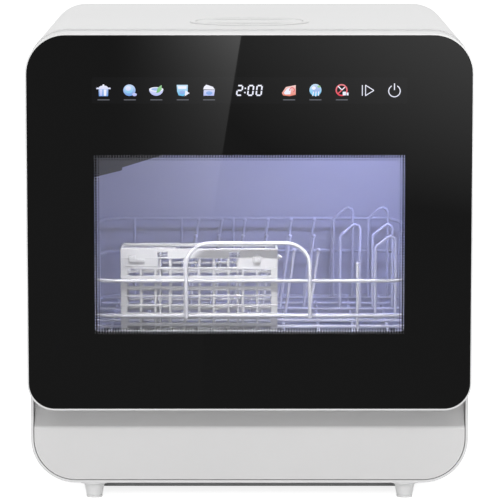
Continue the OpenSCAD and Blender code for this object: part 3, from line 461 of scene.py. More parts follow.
def group_brushed_lines():
    """Height and roughness of fine lines along X, with a few deeper ones."""
    wires, given, out = new_group(
        "brushed_lines",
        [("Vector", "vector", None), ("Roughness", "value", 0.35), ("Spread", "value", 0.2)],
        [("Height", "value"), ("Roughness", "value")],
    )
    stretch = wires.add("ShaderNodeMapping")
    stretch.inputs["Scale"].default_value = BRUSH_STRETCH
    wires.feed(stretch.inputs["Vector"], given["Vector"])
    lines = wires.noise(stretch.outputs[0], 1.0, 3.0)
    wires.feed(out["Height"], lines)
    wires.feed(out["Roughness"], wires.swing(given["Roughness"], lines, given["Spread"]))


def group_dotted_border():
    """Printed dots around a window: they meet at its edge and are gone a little inside."""
    wires, given, out = new_group(
        "dotted_border",
        [("Vector", "vector", None), ("Half Width", "value", 0.1475), ("Middle", "value", 0.25),
         ("Half Height", "value", 0.086), ("Corner", "value", 0.005), ("Depth", "value", 0.009),
         ("Pitch", "value", 0.0014)],
        [("Print", "value")],
    )
    across, _, height = wires.axes(given["Vector"])
    up = wires.math("SUBTRACT", height, given["Middle"])
    # How far a point lies past the middles of the rounded corners
    past = [
        wires.math(
            "SUBTRACT", wires.math("ABSOLUTE", place),
            wires.math("SUBTRACT", given[half], given["Corner"]),
        )
        for place, half in ((across, "Half Width"), (up, "Half Height"))
    ]
    outside = wires.diagonal(*[wires.math("MAXIMUM", value, 0.0) for value in past])
    inside = wires.math("MINIMUM", wires.math("MAXIMUM", *past), 0.0)
    depth = wires.math("SUBTRACT", given["Corner"], wires.math("ADD", outside, inside))
    cell = []
    for place in (across, up):
        turn = wires.math("DIVIDE", place, given["Pitch"])
        cell.append(wires.math("SUBTRACT", wires.math("FRACT", turn), 0.5))
    size = wires.span(depth, 0.0, given["Depth"], FULL_DOT, 0.0)
    dots = wires.math("LESS_THAN", wires.diagonal(*cell), size)
    edge = wires.math("LESS_THAN", depth, 0.0)
    wires.feed(out["Print"], wires.math("MAXIMUM", dots, edge))


def group_lit_print():
    """Colour of a backlit print that gets paler towards its top."""
    wires, given, out = new_group(
        "lit_print",
        [("Vector", "vector", None), ("Colour", "colour", PLAIN_WHITE), ("Pale", "value", 0.5),
         ("Middle", "value", 0.4), ("Half", "value", ICON_HALF)],
        [("Colour", "colour")],
    )
    up = wires.math("SUBTRACT", wires.axes(given["Vector"])[2], given["Middle"])
    low = wires.math("MULTIPLY", given["Half"], -1.0)
    share = wires.span(up, low, given["Half"], 0.0, given["Pale"])
    wires.feed(out["Colour"], wires.blend(share, given["Colour"], PLAIN_WHITE))


GROUP_MAKERS = (
    group_surface_tone, group_moulded_grain, group_brushed_lines, group_dotted_border,
    group_lit_print,
)


# ---------------------------------------------------------------- materials

# Anti-glare glass mirrors less than plain glass, whose level is 0.5
GLASS_ROUGHNESS = 0.02
GLASS_SPECULAR = 0.095
MIRROR_TONE = (0.9, 0.9, 0.95, 1)

# Moulded finishes: colour or the name of its property, roughness, colour drift, grain scale,
# share of orange peel and grain depth in millimetres, and for some the specular level and
# the gloss spread
MOULDED = {
    "casing_white": ("casing", 0.3, 0.012, 900, 0.5, 0.0015, 0.5, 0.012),
    "skirt_white": ("skirt", 0.42, 0.02, 1400, 0.2, 0.03),
    "pan_grey": (srgb(126, 127, 128), 0.5, 0.05, 900, 0.3, 0.05),
    "rubber_grey": ((0.07, 0.07, 0.075), 0.75, 0.1, 1200, 0.2, 0.06, 0.3),
    "tub_white": ("tub", 0.35, 0.03, 700, 0.5, 0.03),
    "seal_grey": ((0.12, 0.12, 0.125), 0.62, 0.06, 1000, 0.2, 0.05, 0.35),
    "arm_grey": ((0.32, 0.33, 0.35), 0.42, 0.05, 1100, 0.3, 0.04),
    "motor_black": ((0.018, 0.018, 0.02), 0.5, 0.1, 900, 0.3, 0.06),
    "hose_grey": ((0.28, 0.28, 0.29), 0.5, 0.06, 800, 0.3, 0.04),
    "duct_grey": (srgb(92, 92, 96), 0.48, 0.06, 900, 0.3, 0.05),
    "board_green": ((0.01, 0.09, 0.03), 0.35, 0.1, 400, 0.6, 0.04),
    "wire_white": ("wire", 0.3, 0.03, 1200, 0.6, 0.02),
    "basket_white": ("basket", 0.4, 0.03, 1400, 0.3, 0.03),
}


def place_group(wires, name, **values):
    """A group in a material's tree, with what it is given."""
    node = wires.add("ShaderNodeGroup")
    node.node_tree = bpy.data.node_groups[name]
    for label, value in values.items():
        wires.feed(node.inputs[label.replace("_", " ")], value)
    return node


def new_material(name):
    """A material with object coordinates and one Principled shader."""
    material = bpy.data.materials.new(name)
    material.use_nodes = True
    wires = Wiring(material.node_tree)
    shader = material.node_tree.nodes["Principled BSDF"]
    place = wires.add("ShaderNodeTexCoord").outputs["Object"]
    return material, wires, shader, place


def set_inputs(shader, values):
    """Plain values on a shader's own sockets."""
    for label, value in values.items():
        shader.inputs[label].default_value = value


def add_tone(wires, shader, place, colour, **values):
    """Feeds a shader the colour and the roughness of surface_tone."""
    tone = place_group(wires, "surface_tone", Vector=place, Colour=(*colour, 1), **values)
    wires.feed(shader.inputs["Base Color"], tone.outputs["Colour"])
    wires.feed(shader.inputs["Roughness"], tone.outputs["Roughness"])


def add_bump(wires, shader, height, distance):
    """Feeds a shader the normal that a height gives."""
    bump = wires.add("ShaderNodeBump")
    bump.inputs["Distance"].default_value = distance
    wires.feed(bump.inputs["Height"], height)
    wires.feed(shader.inputs["Normal"], bump.outputs[0])


def moulded(name, colour, roughness, drift, scale, peel, depth, specular=0.5, spread=0.05):
    """Plastic or rubber with a moulded skin."""
    material, wires, shader, place = new_material(name)
    add_tone(wires, shader, place, colour, Drift=drift, Roughness=roughness, Gloss_Spread=spread)
    shader.inputs["Specular IOR Level"].default_value = specular
    grain = place_group(wires, "moulded_grain", Vector=place, Scale=scale, Peel=peel)
    add_bump(wires, shader, grain.outputs["Height"], depth * MM)
    return material


def brushed(name, colour, roughness):
    """Sheet metal with fine lines."""
    material, wires, shader, place = new_material(name)
    lines = place_group(wires, "brushed_lines", Vector=place, Roughness=roughness, Spread=0.25)
    add_tone(wires, shader, place, colour, Drift=0.06)
    # The lines' roughness takes the place of the tone's
    wires.feed(shader.inputs["Roughness"], lines.outputs["Roughness"])
    shader.inputs["Metallic"].default_value = 1.0
    add_bump(wires, shader, lines.outputs["Height"], 0.02 * MM)
    return material


def black_glass(name, colour):
    """Printed glass with an anti-glare front."""
    material, wires, shader, place = new_material(name)
    add_tone(
        wires, shader, place, colour, Drift=0.1, Roughness=GLASS_ROUGHNESS, Gloss_Spread=0.012
    )
    shader.inputs["Specular IOR Level"].default_value = GLASS_SPECULAR
    return material


def clear_glass(name, tint, shine, black, print_share=None):
    """Clear pane: mostly see-through, with a mirror share and an optional black print."""
    material, wires, shader, place = new_material(name)
    set_inputs(shader, {
        "Base Color": (*black, 1), "Roughness": GLASS_ROUGHNESS,
        "Specular IOR Level": GLASS_SPECULAR,
    })
    through = wires.add("ShaderNodeBsdfTransparent")
    through.inputs["Color"].default_value = (*tint, 1)
    gloss = wires.add("ShaderNodeBsdfGlossy")
    set_inputs(gloss, {"Roughness": GLASS_ROUGHNESS, "Color": MIRROR_TONE})

    def mixed(share, first, second):
        mix = wires.add("ShaderNodeMixShader")
        for socket, source in zip(mix.inputs, (share, first.outputs[0], second.outputs[0])):
            wires.feed(socket, source)
        return mix

    surface = mixed(shine, through, gloss)
    if print_share:
        surface = mixed(print_share(wires, place), surface, shader)
    output = material.node_tree.nodes["Material Output"]
    wires.feed(output.inputs["Surface"], surface.outputs[0])
    return material


def milky(name, colour, clear, roughness):
    """Translucent plastic, as of feet and tank."""
    material = moulded(
        name, colour, roughness, drift=0.04, scale=300.0, peel=0.3, depth=0.02
    )
    set_inputs(material.node_tree.nodes["Principled BSDF"], {
        "Transmission Weight": clear, "Subsurface Weight": 0.3,
        "Subsurface Radius": (0.01, 0.01, 0.01),
    })
    return material


def glowing(name, colour, strength, pale=0.0):
    """Backlit print or lamp lens."""
    material, wires, shader, place = new_material(name)
    lit = place_group(
        wires, "lit_print", Vector=place, Colour=(*colour, 1), Pale=pale,
        Middle=bpy.context.scene.dishwasher_sizes.icon_height,
    )
    set_inputs(shader, {
        "Base Color": (0.01, 0.01, 0.01, 1), "Roughness": 0.3, "Specular IOR Level": 0.1,
        "Emission Strength": strength,
    })
    wires.feed(shader.inputs["Emission Color"], lit.outputs["Colour"])
    return material


def make_slot_materials(colours):
    """Makes the material of every slot of the record, under the slot's name."""
    for name, (colour, *values) in MOULDED.items():
        moulded(name, getattr(colours, colour) if isinstance(colour, str) else colour, *values)
    milky("foot_clear", (0.92, 0.92, 0.92), clear=0.0, roughness=0.35)
    milky("tank_plastic", (0.78, 0.82, 0.86), clear=0.35, roughness=0.3)
    brushed("steel", (0.62, 0.63, 0.65), roughness=0.32)
    brushed("spring_steel", (0.6, 0.6, 0.62), roughness=0.25)
    glowing("lamp_lens", (0.7, 0.72, 1.0), strength=2.0)
    black_glass("front_glass_black", colours.black)
    clear_glass("pane_glass", (0.98, 0.98, 0.99), shine=0.004, black=colours.black)


def set_material(piece, *materials):
    """Gives a piece these materials in place of all others."""
    piece.data.materials.clear()
    for material in materials:
        piece.data.materials.append(material)


# ---------------------------------------------------------------- operators


class MakeFinishes(bpy.types.Operator):
    """Gives every CAD node its material"""

    bl_idname = "dishwasher.finishes"
    bl_label = "Finishes"

    def execute(self, context):
        for imported in list(bpy.data.materials):
            bpy.data.materials.remove(imported)
        for make in GROUP_MAKERS:
            make()
        make_slot_materials(context.scene.dishwasher_colours)
        for node, piece in NODES.items():
            set_material(piece, bpy.data.materials[SLOT_OF[node]])
        return {"FINISHED"}


# Node, name of its piece, edge radius in millimetres and steps of the rounding
SHELLS = (
    ("outer_casing", "casing_shell", 0.5, 2),
    ("door_shell", "door_casing", 0.5, 2),
    ("front_skirt", "skirt_cover", 0.2, 2),
    ("rear_panel", "rear_cover", 0.5, 2),
    ("base_pan", "floor_pan", 1.0, 2),
    ("feet", "moulded_feet", 1.4, 3),
    ("filler_funnel", "filler_ring", 1.1, 3),
    ("filler_lid", "filler_cap", 1.3, 3),
    ("air_outlet", "air_guide", 0.8, 2),
    ("tub", "tub_moulding", 0.7, 2),
    ("door_inner_panel", "door_liner", 0.6, 2),
    ("water_tank", "tank_moulding", 0.8, 2),
    ("sump", "sump_bowl", 0.5, 2),
    ("lower_spray_arm", "lower_arm_moulding", 0.7, 2),
    ("upper_spray_arm", "upper_arm_moulding", 0.7, 2),
    ("detergent_cup", "cup_moulding", 0.4, 2),
    ("detergent_lid", "cup_cover", 0.5, 2),
    ("air_duct", "duct_moulding", 0.6, 2),
    ("fan_housing", "fan_scroll", 0.6, 2),
    ("catch_housing", "catch_cover", 0.4, 2),
)


class RoundShells(bpy.types.Operator):
    """Moulded shells with rounded edges, from the frame's own shapes"""

    bl_idname = "dishwasher.shells"
    bl_label = "Moulded shells"

    crease_radius = 2.4 * MM
    crease_steps = 6
    # Edges this close to the crease belong to it
    crease_band = 0.05 * MM

    def ease_skirt(self, piece):
        """Rounds the crease where the skirt's front turns into the arc under the door."""
        points = [point.co for point in piece.data.vertices]
        front = min(point.y for point in points) + 2 * TOUCH
        crease = max(point.z for point in points if point.y < front)
        round_edges(
            piece,
            lambda edge: along(edge, 0) and all(
                point.co.y < front and crease - point.co.z < self.crease_band
                for point in edge.verts
            ),
            self.crease_radius, self.crease_steps,
        )

    def execute(self, context):
        for node, name, radius, steps in SHELLS:
            piece = merged_copy(node, name)
            if node == "front_skirt":
                self.ease_skirt(piece)
            bevel_all(piece, radius * MM, steps)
            smooth(piece)
            set_material(piece, bpy.data.materials[SLOT_OF[node]])
            stand_for(piece, node)
        return {"FINISHED"}


class MakeDoorGlass(bpy.types.Operator):
    """Black front glass with its chamfer, clear window and dotted border"""

    bl_idname = "dishwasher.door_glass"
    bl_label = "Door glass"

    top_radius = 36.5 * MM
    low_radius = 24.5 * MM
    corner_steps = 28
    chamfer_steps = 3
    window_shine = 0.016

    def round_outline(self, glass, low, high, chamfer):
        """Rounds the four corners and grinds the front's edge."""
        middle = (low.z + high.z) / 2
        for radius, upper in ((self.top_radius, True), (self.low_radius, False)):
            round_edges(
                glass,
                lambda edge: along(edge, 1) and (edge.verts[0].co.z > middle) == upper
                and abs(edge.verts[0].co.x) > high.x - MM,
                radius, self.corner_steps,
            )
        front = low.y + TOUCH
        round_edges(
            glass, lambda edge: all(point.co.y < front for point in edge.verts),
            chamfer, self.chamfer_steps,
        )

    def cut_window(self, glass, sizes, half):
        """Cuts the faces along the window's edges and gives those inside the second slot."""
        for place, normal in (
            ((half, 0, 0), (1, 0, 0)), ((-half, 0, 0), (1, 0, 0)),
            ((0, 0, sizes.window_low), (0, 0, 1)), ((0, 0, sizes.window_high), (0, 0, 1)),
        ):
            pick(glass, "FACE", lambda face: True)
            bpy.ops.mesh.bisect(plane_co=place, plane_no=normal, use_fill=False)
            leave()
        for face in glass.data.polygons:
            centre = face.center
            clear = abs(centre.x) < half and sizes.window_low < centre.z < sizes.window_high
            face.material_index = int(clear and abs(face.normal.y) > PARALLEL)

    def execute(self, context):
        sizes = context.scene.dishwasher_sizes
        colours = context.scene.dishwasher_colours
        half = sizes.window_width / 2
        low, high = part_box("front_glass")
        low.y += sizes.print_room
        glass = add_block("door_glass", low, high)
        self.round_outline(glass, low, high, sizes.glass_chamfer)

        def printed(wires, place):
            """Share of black print on the window."""
            border = place_group(
                wires, "dotted_border", Vector=place, Half_Width=half,
                Middle=(sizes.window_low + sizes.window_high) / 2,
                Half_Height=(sizes.window_high - sizes.window_low) / 2,
                Corner=sizes.window_corner, Depth=sizes.border_depth, Pitch=sizes.border_pitch,
            )
            return border.outputs["Print"]

        window = clear_glass(
            "window_glass", colours.tint, self.window_shine, colours.black, printed
        )
        set_material(glass, bpy.data.materials["front_glass_black"], window)
        self.cut_window(glass, sizes, half)
        smooth(glass)
        stand_for(glass, "front_glass")
        return {"FINISHED"}


def ellipse(x, z, wide, high, start=0, end=360, steps=28):
    """Points of an ellipse or a slice of its rim, in millimetres from the icon's middle."""
    count = steps if end - start == 360 else steps + 1
    turns = [math.radians(start + (end - start) * step / steps) for step in range(count)]
    return [(x + wide * math.cos(turn), z + high * math.sin(turn)) for turn in turns]


def arc(x, z, radius, width, start, end, steps=24):
    """Outline of a stroke that runs round part of a circle."""
    outer = ellipse(x, z, radius + width / 2, radius + width / 2, start, end, steps)
    inner = ellipse(x, z, radius - width / 2, radius - width / 2, start, end, steps)
    return outer + inner[::-1]


def stroke(start, end, width):
    """Outline of a straight stroke."""
    start, end = Vector(start), Vector(end)
    run = end - start
    side = Vector((-run.y, run.x)).normalized() * width / 2
    return [tuple(point) for point in (start - side, end - side, end + side, start + side)]


# Prints: name, colour, strength of the light and how pale the top is
LILAC = ("icon_lilac", srgb(176, 186, 245), 1.0, 0.75)
WHITE = ("icon_white", srgb(236, 238, 255), 1.0, 0.3)
BLUE = ("icon_blue", srgb(96, 152, 226), 1.0, 0.5)
CYAN = ("icon_cyan", srgb(80, 186, 236), 1.0, 0.55)
GREEN = ("icon_green", srgb(72, 176, 70), 1.0, 0.3)
ORANGE = ("icon_orange", srgb(232, 120, 96), 1.0, 0.6)
RED = ("icon_red", srgb(226, 44, 70), 1.0, 0.2)
GREY = ("icon_grey", srgb(120, 122, 132), 0.55, 0.0)

# Icons: place along the row, then outlines and their colours from back to front
ICONS = {
    "icon_pot": (-136.4, [
        (ellipse(0, 2.6, 4.2, 1.9, 0, 180), LILAC),
        (ellipse(0, 4.8, 0.9, 0.9), WHITE),
        ([(-6.8, 1.2), (6.8, 1.2), (6.4, 2.6), (-6.4, 2.6)], LILAC),
        ([(-4.3, -5.4), (4.3, -5.4), (4.5, 1.2), (-4.5, 1.2)], BLUE),
        ([(-3.3, -5.0), (-1.2, -5.0), (-1.2, 0.8), (-3.5, 0.8)], LILAC),
        ([(0.3, -5.0), (2.6, -5.0), (2.8, 0.8), (0.3, 0.8)], WHITE),
    ]),
    "icon_plate": (-111.8, [
        (ellipse(-0.4, 0.2, 5.7, 5.4), BLUE),
        (ellipse(-1.0, 1.0, 4.1, 3.8), CYAN),
        (ellipse(-1.5, 1.8, 2.6, 2.2), LILAC),
        (ellipse(4.4, -3.9, 2.1, 1.5), LILAC),
    ]),
    "icon_bowl": (-87.1, [
        (ellipse(0, 1.0, 6.6, 6.0, 180, 360), LILAC),
        (ellipse(0, 1.0, 6.6, 2.1), WHITE),
        (ellipse(0.2, 1.1, 4.9, 1.4), BLUE),
        ([(0.0, -2.4), (1.4, 2.4), (5.0, 5.2), (5.2, 1.0), (2.6, -1.8)], GREEN),
    ]),
    "icon_glass": (-62.4, [
        ([(-5.6, 5.2), (4.8, 5.2), (4.6, -1.8), (0.6, -5.4), (-3.8, -4.6), (-5.2, -1.0)], CYAN),
        ([(-4.4, 4.0), (3.6, 4.0), (3.4, 1.4), (-4.2, 1.4)], WHITE),
        (ellipse(-0.6, -1.8, 2.6, 1.8), BLUE),
        ([(1.8, -5.4), (6.4, -2.6), (2.6, 0.2)], WHITE),
    ]),
    "icon_cup": (-37.8, [
        ([(-5.2, -4.9), (4.6, -4.9), (5.4, 0.4), (-4.9, 0.4)], LILAC),
        ([(-5.4, 1.0), (5.4, 0.8), (3.6, 3.4), (-2.6, 5.4), (-4.6, 3.6)], WHITE),
        (ellipse(0.2, -2.4, 3.0, 1.7), BLUE),
    ]),
    "icon_dry": (37.0, [
        ([(-6.8, -2.4), (-3.0, 3.2), (6.2, 5.0), (6.2, -4.0), (0.4, -5.4), (-5.6, -4.6)], ORANGE),
        ([(-5.0, -2.4), (-2.0, 1.6), (2.0, 2.8), (1.2, -3.6), (-3.6, -3.8)], WHITE),
        (arc(2.8, 0.4, 2.2, 0.9, -60, 200), RED),
    ]),
    "icon_fresh": (61.6, [
        (ellipse(0, 0.4, 5.6, 5.6), CYAN),
        (ellipse(0.9, 1.3, 3.8, 3.6), BLUE),
        (ellipse(-1.6, 2.2, 1.9, 1.6), WHITE),
        (ellipse(3.2, 3.6, 1.5, 1.0), GREEN),
        (stroke((-1.8, -1.2), (-2.6, -5.2), 0.9), WHITE),
        (stroke((0.6, -1.0), (0.2, -5.6), 0.9), WHITE),
        (stroke((3.0, -1.0), (2.9, -5.0), 0.9), WHITE),
    ]),
    "icon_delay": (86.3, [
        (arc(-0.3, 0.3, 5.0, 1.3, 0, 180), RED),
        (arc(-0.3, 0.3, 5.0, 1.3, 180, 360), RED),
        (stroke((-3.6, 4.0), (0.0, 0.4), 1.0), WHITE),
        (stroke((3.4, 3.6), (-3.9, -3.3), 1.1), RED),
        (stroke((0.0, 0.4), (2.6, 3.0), 0.9), WHITE),
        ([(0.8, -4.6), (3.8, -4.6), (3.8, -1.2), (0.8, -1.2)], WHITE),
        ([(4.4, -4.6), (6.2, -4.6), (6.2, -2.0), (4.4, -2.0)], WHITE),
    ]),
    "icon_play": (110.8, [
        (stroke((-5.4, -5.0), (-5.4, 5.0), 0.8), WHITE),
        (stroke((-2.4, -5.2), (-2.4, 5.2), 0.8), WHITE),
        (stroke((-2.6, 5.0), (5.4, 0.0), 0.8), WHITE),
        (stroke((5.4, 0.0), (-2.6, -5.0), 0.8), WHITE),
    ]),
    "icon_power": (135.4, [
        (arc(0, -0.6, 5.4, 0.9, 118, 422), WHITE),
        (stroke((0, 0.4), (0, 6.6), 0.95), WHITE),
    ]),
}
# Programmes, which have a bar under their icon
PROGRAMMES = (
    "icon_pot", "icon_plate", "icon_bowl", "icon_glass", "icon_cup", "icon_dry", "icon_fresh",
    "icon_delay",
)
# Ends of a digit's seven bars, as shares of its half width and half height
DIGIT_BARS = {
    "a": ((-1, 1), (1, 1)), "b": ((1, 1), (1, 0)), "c": ((1, 0), (1, -1)),
    "d": ((1, -1), (-1, -1)), "e": ((-1, -1), (-1, 0)), "f": ((-1, 0), (-1, 1)),
    "g": ((-1, 0), (1, 0)),
}
DIGITS = {"0": "abcdef", "2": "abged"}
# How much further out each layer of a print lies, as a share of its thickness
LAYER_STEP = 0.4


def icon_material(colour):
    """The material of a print's colour, made when first asked for."""
    name, tone, strength, pale = colour
    return bpy.data.materials.get(name) or glowing(name, tone, strength, pale)


def print_outline(outline, place, colour, layer=0):
    """A thin printed patch on the glass, from an outline in millimetres."""
    sizes = bpy.context.scene.dishwasher_sizes
    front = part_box("front_glass")[0].y + sizes.print_room
    clear_selection()
    bpy.ops.mesh.primitive_circle_add(vertices=len(outline), fill_type="NGON")
    patch = bpy.context.object
    step = sizes.print_thickness * (1 + LAYER_STEP * layer)
    for point, (x, z) in zip(patch.data.vertices, outline):
        point.co = ((place + x) * MM, front - step, sizes.icon_height + z * MM)
    pick(patch, "FACE", lambda face: True)
    bpy.ops.mesh.extrude_region_move(TRANSFORM_OT_translate={"value": (0, step, 0)})
    bpy.ops.mesh.select_all(action="SELECT")
    bpy.ops.mesh.normals_make_consistent(inside=False)
    leave()
    set_material(patch, icon_material(colour))
    return patch


def put_on_door(piece):
    """A print rides on the door."""
    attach(piece, "door")


class MakeIcons(bpy.types.Operator):
    """Backlit touch icons with plain bars under them"""

    bl_idname = "dishwasher.icons"
    bl_label = "Icons"

    # Outline of the bar under an icon, in millimetres
    bar = ((-5.6, -9.3), (5.6, -9.3), (5.6, -8.3), (-5.6, -8.3))

    def execute(self, context):
        for name, (place, shapes) in ICONS.items():
            patches = [
                print_outline(outline, place, colour, layer)
                for layer, (outline, colour) in enumerate(shapes)
            ]
            if name in PROGRAMMES:
                patches.append(print_outline(self.bar, place, GREY))
            put_on_door(join(patches, name))
        return {"FINISHED"}


class MakeDisplay(bpy.types.Operator):
    """Lit time display with seven-bar digits"""

    bl_idname = "dishwasher.display"
    bl_label = "Display"

    # In millimetres; the lean is sideways for each unit up
    half_width = 2.3
    half_height = 4.5
    lean = 0.12
    bar_width = 1.35
    bar_gap = 0.45
    places = ((-9.2, "2"), (1.1, "0"), (9.0, "0"))
    colon_place = -4.1
    colon_heights = (-2.0, 2.0)
    dot_radius = 0.75
    dot_sides = 12

    def execute(self, context):
        patches = []
        for place, digit in self.places:
            for bar in DIGITS[digit]:
                ends = []
                for x, z in DIGIT_BARS[bar]:
                    up = z * self.half_height
                    ends.append(Vector((x * self.half_width + up * self.lean, up)))
                gap = (ends[1] - ends[0]).normalized() * self.bar_gap
                outline = stroke(ends[0] + gap, ends[1] - gap, self.bar_width)
                patches.append(print_outline(outline, place, WHITE))
        for z in self.colon_heights:
            dot = ellipse(z * self.lean, z, self.dot_radius, self.dot_radius, steps=self.dot_sides)
            patches.append(print_outline(dot, self.colon_place, WHITE))
        put_on_door(join(patches, "display_digits"))
        return {"FINISHED"}


class MakeTouchField(bpy.types.Operator):
    """Slightly paler field behind the icons, where the touch film lies under the glass"""

    bl_idname = "dishwasher.touch_field"
    bl_label = "Touch field"

    # In millimetres around the middle of the icons' row
    half_width = 147.5
    half_height = 12.3
    corner = 2.0
    corner_steps = 6
    film_tone = (0.0042, 0.0042, 0.0045)

    def execute(self, context):
        side = self.half_width - self.corner
        up = self.half_height - self.corner
        outline = []
        for x, z, start in ((side, up, 0), (-side, up, 90), (-side, -up, 180), (side, -up, 270)):
            outline += ellipse(
                x, z, self.corner, self.corner, start, start + 90, self.corner_steps
            )
        # The layer below zero keeps the field behind the icons
        field = print_outline(outline, 0, GREY, layer=-1)
        field.name = "touch_field"
        set_material(field, black_glass("touch_film", self.film_tone))
        put_on_door(field)
        return {"FINISHED"}


class MakeFittings(bpy.types.Operator):
    """Thread of the water inlet and holding rings of the drain spigot"""

    bl_idname = "dishwasher.fittings"
    bl_label = "Fittings"

    # Node, name of its piece, how far its axis lies below its top, its radius, thickness and
    # distance of the rings, in millimetres, and their number
    rings = (
        ("inlet_valve", "inlet_thread", 34.0, 13.2, 0.75, 2.3, 7),
        ("drain_spigot", "spigot_rings", 14.0, 8.0, 0.9, 4.6, 3),
    )
    # How far the first ring lies behind the end, and how deep each sits in its pipe
    end_room = 2.0
    sink = 0.1
    sides = 48
    rim_sides = 8

    def execute(self, context):
        for node, name, drop, radius, thick, pitch, count in self.rings:
            low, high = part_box(node)
            clear_selection()
            bpy.ops.mesh.primitive_torus_add(
                location=((low.x + high.x) / 2, high.y - self.end_room * MM, high.z - drop * MM),
                rotation=(math.pi / 2, 0, 0),
                major_segments=self.sides, minor_segments=self.rim_sides,
                major_radius=(radius - self.sink) * MM, minor_radius=thick * MM,
            )
            ring = bpy.context.object
            settle(ring)
            twins = [copied(ring, (0, -step * pitch * MM, 0)) for step in range(1, count)]
            piece = join([ring, *twins], name)
            smooth(piece)
            set_material(piece, bpy.data.materials[SLOT_OF[node]])
            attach(piece, BODY_OF[node])
        return {"FINISHED"}


class BasketFrame:
    """Bars and rods of the basket, in millimetres from its front's upper left corner."""

    def __init__(self, corner, long, deep, tall):
        self.corner = corner
        self.long, self.deep, self.tall = long, deep, tall
        self.pieces = []

    def bar(self, across, inward, down, radius):
        """A bar by its ranges along the front, inwards and below the top edge."""
        start = self.corner + Vector((across[0], inward[0], -down[1]))
        end = self.corner + Vector((across[1], inward[1], -down[0]))
        self.pieces.append(add_bar(start * MM, end * MM, radius * MM))
        return self.pieces[-1]

    def row(self, first, across, inward, count=1):
        """Twins of a bar, each a step further than the last, which it gives back."""
        for step in range(1, count + 1):
            self.pieces.append(copied(first, Vector((across, inward, 0)) * step * MM))
        return self.pieces[-1]

    def rod(self, place, radius, length, axis):
        """A round rod around its middle."""
        middle = (self.corner + Vector(place)) * MM
        self.pieces.append(add_rod(middle, radius * MM, length * MM, axis))


